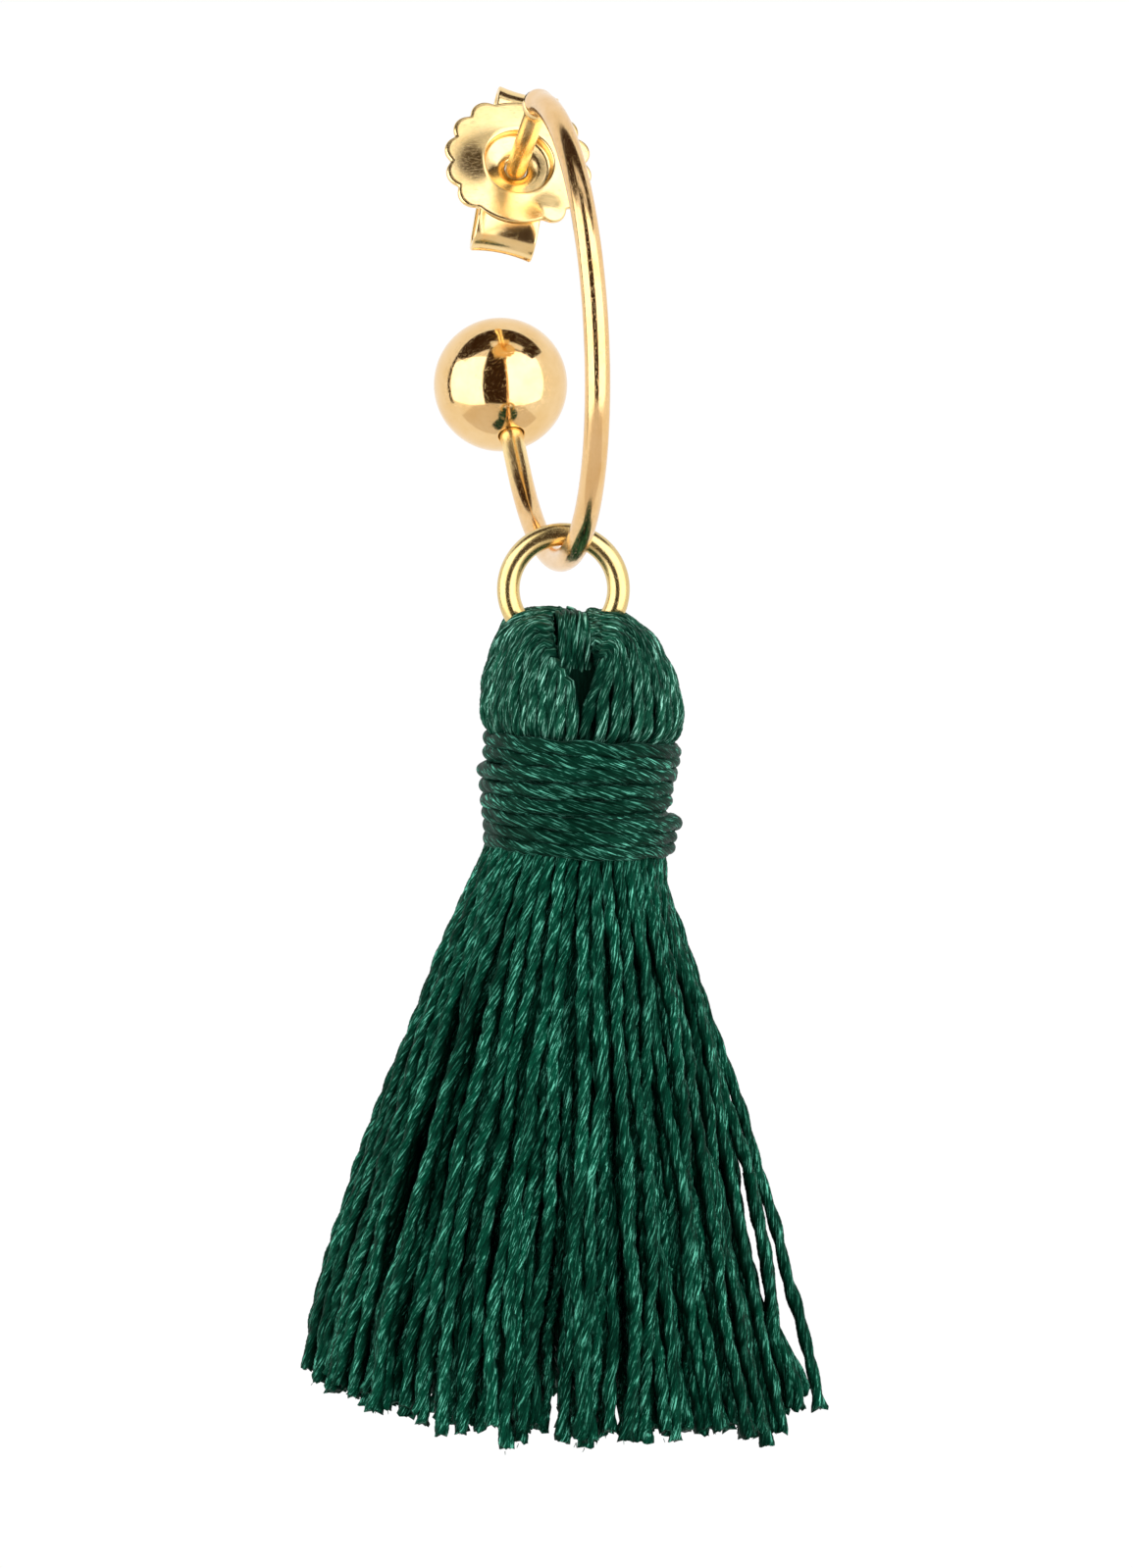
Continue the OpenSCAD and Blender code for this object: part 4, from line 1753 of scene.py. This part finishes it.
@dataclass
class Studio:
    """The camera, a pale floor, soft light from both sides, and dark cards that only the metal mirrors.

    Level sheets lie between two distances to the camera's right and two towards the camera, in metres.
    Azimuths of cards and softboxes are degrees from the camera's. A softbox has an azimuth and a distance
    for each edge, and the heights between which it stands, in metres.
    """

    look_at: tuple[float, float, float] = (0.892, -1.032, -18.684)
    distance: float = 150
    azimuth: float = VIEW_AZIMUTH
    elevation: float = 3
    focal_px: float = 5325
    frame_h_px: float = 1599
    sensor_w: float = 36
    clip: Span = (0.005, 20)
    room_glow: float = 1.01
    floor_z: float = -55
    floor: tuple[Span, Span] = ((-3, 3), (-3, 3))
    below_z: float = -340
    below: tuple[Span, Span] = ((-0.42, 0.36), (-0.05, 0.48))
    above_z: float = 500
    above: tuple[tuple[str, Span, Span], ...] = (
        ("card_above_back", (-0.80, 0.64), (-0.18, 0.09)),
        ("card_above_left", (-0.80, -0.12), (0.09, 0.24)),
        ("card_above_right", (0.32, 0.64), (0.09, 0.24)),
        ("card_above_front", (-0.12, 0.32), (0.21, 0.24)),
    )
    card_reach: float = 0.6
    card_steps: int = 24
    cards: tuple[tuple[str, Span, Span], ...] = (
        ("card_by_camera", (-31, 13), (-37, 66)), ("card_by_left_softbox", (-104, -96), (-20, 44)),
    )
    softbox_glow: float = 1.4
    softboxes: tuple[tuple[str, Span, Span, Span], ...] = (
        ("left_softbox", (-31, 0.40), (-96, 0.90), (-0.26, 0.42)),
        ("right_softbox", (13, 0.40), (80, 0.87), (-0.29, 0.62)),
    )

    def toward(self, azimuth: float, elevation: float) -> Vector:
        """The direction from the earring to something at that azimuth and elevation."""
        a, e = math.radians(azimuth), math.radians(elevation)
        return Vector((math.sin(a) * math.cos(e), -math.cos(a) * math.cos(e), math.sin(e)))

    def camera(self) -> None:
        """Makes the camera at the photograph's viewing angle."""
        data = bpy.data.cameras.new("camera")
        data.sensor_width = self.sensor_w
        data.lens = self.sensor_w * self.focal_px / self.frame_h_px
        data.clip_start, data.clip_end = self.clip
        camera = put("camera", data)
        back = self.toward(self.azimuth, self.elevation)
        camera.location = (Vector(self.look_at) + back * self.distance) * MM
        camera.rotation_mode = "QUATERNION"
        camera.rotation_quaternion = (-back).to_track_quat("-Z", "Y")
        bpy.context.scene.camera = camera

    def world(self) -> None:
        """Makes the even white surroundings."""
        world = bpy.data.worlds.new("white_room")
        tree = Tree(world)
        glow = tree.add("ShaderNodeBackground", {}, {"Color": (1, 1, 1, 1), "Strength": self.room_glow})
        tree.add("ShaderNodeOutputWorld", {}, {"Surface": glow})
        bpy.context.scene.world = world
        bpy.context.scene.view_settings.view_transform = "Standard"

    def sheet(
        self, name: str, points: list[Vector], faces: list[tuple[int, ...]], finish: Material,
        camera: bool = False, diffuse: bool = False, glossy: bool = True
    ) -> None:
        """Makes one sheet of the studio, which casts no shadow.

        Args:
            name: Its name.
            points: Its corners, in metres.
            faces: Its faces.
            finish: Its material.
            camera: Whether the camera sees it.
            diffuse: Whether it lights dull surfaces.
            glossy: Whether metal mirrors it.
        """
        mesh = bpy.data.meshes.new(name)
        mesh.from_pydata(points, [], faces)
        mesh.materials.append(finish)
        sheet = put(name, mesh)
        sheet.visible_camera, sheet.visible_diffuse, sheet.visible_glossy = camera, diffuse, glossy
        sheet.visible_transmission = sheet.visible_shadow = False

    def level(
        self, name: str, z: float, rightward: Span, forward: Span, finish: Material, **seen: bool
    ) -> None:
        """Makes one level sheet.

        Args:
            name: Its name.
            z: Its height, in millimetres.
            rightward: From and to, to the camera's right, in metres.
            forward: From and to, towards the camera, in metres.
            finish: Its material.
            seen: What sees it, as for a sheet.
        """
        toward = self.toward(self.azimuth, 0)
        right = Vector((-toward.y, toward.x, 0))
        (left_x, right_x), (back_y, front_y) = rightward, forward
        corners = [right * x + toward * y for x, y in
                   ((left_x, back_y), (right_x, back_y), (right_x, front_y), (left_x, front_y))]
        self.sheet(name, [Vector((c.x, c.y, z * MM)) for c in corners], [(0, 1, 2, 3)], finish, **seen)

    def card(self, name: str, azimuths: Span, elevations: Span, finish: Material) -> None:
        """Makes one card, a patch of a ball round the earring.

        Args:
            name: Its name.
            azimuths: From and to, in degrees from the camera's azimuth.
            elevations: From and to, in degrees.
            finish: Its material.
        """
        n, centre = self.card_steps, Vector(self.look_at) * MM
        sideways = np.linspace(self.azimuth + azimuths[0], self.azimuth + azimuths[1], n)
        points = [centre + self.toward(a, e) * self.card_reach
                  for e in np.linspace(*elevations, n) for a in sideways]
        corners = [r * n + c for r in range(n - 1) for c in range(n - 1)]
        self.sheet(name, points, [(k, k + 1, k + n + 1, k + n) for k in corners], finish)

    def softbox(self, name: str, near: Span, far: Span, heights: Span) -> None:
        """Makes one soft light, an upright sheet.

        Args:
            name: Its name.
            near: Azimuth from the camera's, and distance in metres, of its edge by the camera.
            far: The same for its other edge.
            heights: How far it reaches below and above the earring, in metres.
        """
        edges = [self.toward(self.azimuth + turned, 0) * reach for turned, reach in (near, far)]
        width, middle = edges[1] - edges[0], (edges[0] + edges[1]) / 2
        facing = Vector((-width.y, width.x, 0)).normalized()
        if facing.dot(middle) < 0:
            facing = -facing
        data = bpy.data.lights.new(name, "AREA")
        data.shape = "RECTANGLE"
        data.size, data.size_y = width.length, heights[1] - heights[0]
        data.energy = self.softbox_glow * math.pi * data.size * data.size_y
        light = put(name, data)
        light.location = Vector(self.look_at) * MM + middle + Vector((0, 0, sum(heights) / 2))
        light.rotation_mode = "QUATERNION"
        light.rotation_quaternion = facing.to_track_quat("Z", "Y")
        light.visible_camera = False

    def build(self) -> None:
        """Makes the whole studio."""
        self.camera()
        self.world()
        white = PlainFinish("pale_floor", (1, 1, 1, 1), 1.02).material()
        self.level("floor", self.floor_z, *self.floor, white, camera=True, glossy=False)
        grey = PlainFinish("grey_card", (0.78, 0.72, 0.66, 1), 1.0).material()
        self.level("card_below", self.below_z, *self.below, grey, diffuse=True)
        dark = PlainFinish("dark_card", (0.035, 0.017, 0.008, 1), 1.0).material()
        for name, rightward, forward in self.above:
            self.level(name, self.above_z, rightward, forward, dark)
        for name, azimuths, elevations in self.cards:
            self.card(name, azimuths, elevations, dark)
        for name, near, far, heights in self.softboxes:
            self.softbox(name, near, far, heights)


def main() -> None:
    """Builds the studio and the earring's pieces, in order."""
    logging.basicConfig(level=logging.INFO, format="%(name)s: %(message)s")
    layout = Layout()
    Studio().build()

    drawn = GoldFinish(
        "drawn_plate", (0.88, 0.59, 0.29, 1), (0.81, 0.50, 0.20, 1), roughness=0.13,
        scratch_height=0.9e-6, satin=0.10
    )
    polished = GoldFinish("polished_plate", (0.89, 0.62, 0.31, 1), (0.84, 0.54, 0.22, 1))
    stamped = GoldFinish(
        "stamped_plate", (0.95, 0.71, 0.36, 1), (0.91, 0.64, 0.27, 1), roughness=0.16, ripple_height=1.5e-6
    )
    pale = GoldFinish("pale_plate", (0.76, 0.58, 0.27, 1), (0.69, 0.495, 0.19, 1), roughness=0.21)
    EarHoop(layout, drawn.material()).build()
    EndBead(layout, polished.material()).build()
    EarNut(layout, stamped.material()).build()
    JumpRing(layout, pale.material()).build()

    # The thread's dye, with painted glints and painted shade in the plies' valleys and on the flanks.
    dye_painted_glint_and_shade = ThreadFinish(
        "dyed_thread_painted_glint_and_shade", (0.0003, 0.009, 0.005, 1), (0.003, 0.071, 0.039, 1), (0.16, 0.60, 0.44, 1),
        gloss=0.06
    )
    # Painted light: the same thread painted lighter on the head, with a lighter mid colour and lighter
    # painted glints, for the light that falls on the head.
    head_painted_light = replace(
        dye_painted_glint_and_shade, name="head_thread", dark=(0.0005, 0.012, 0.007, 1), mid=(0.013, 0.104, 0.060, 1),
        light=(0.40, 0.86, 0.69, 1), gloss=0.08
    )
    # Painted shade: the same thread painted darker where it is wound round the neck, with a faint sheen.
    wound_painted_shade = replace(
        dye_painted_glint_and_shade, name="wound_thread", dark=(0.0003, 0.006, 0.003, 1), mid=(0.0035, 0.041, 0.024, 1),
        gloss=0.09, sheen=0.10
    )
    # Painted shade: the packed threads inside the head are painted near black-green, for the shade deep
    # inside.
    packed_painted_shade = ThreadFinish(
        "packed_thread", (0.0005, 0.005, 0.003, 1), (0.001, 0.010, 0.006, 1), (0.004, 0.03, 0.02, 1)
    )
    thread = Thread()
    thin_thread = Thread(radius=0.13, groove=0.035, step=0.09)
    # flank sets where the binding thread's painted flank shade starts.
    wound_thread = Thread(radius=0.245, groove=0.048, pitch=3.3, step=0.12, fibre_turn=0.85, flank=0.42)
    plain_thread = Thread(step=0.19, ply_corners=(-90, -50, -17, 17, 50), hair_n=1)
    inside_thread = Thread(step=0.32, ply_corners=(-90, -30, 30), hair_n=1)
    # On the head the painted flank shade starts further round.
    head = Head(layout, replace(thread, flank=-0.02), thin_thread, head_painted_light.material())
    head.build()
    head.build_inside(packed_painted_shade.material())
    Binding(layout, wound_thread, wound_painted_shade.material()).build()
    Skirt(layout, thread, plain_thread, inside_thread, dye_painted_glint_and_shade.material()).build()


if __name__ == "__main__":
    main()
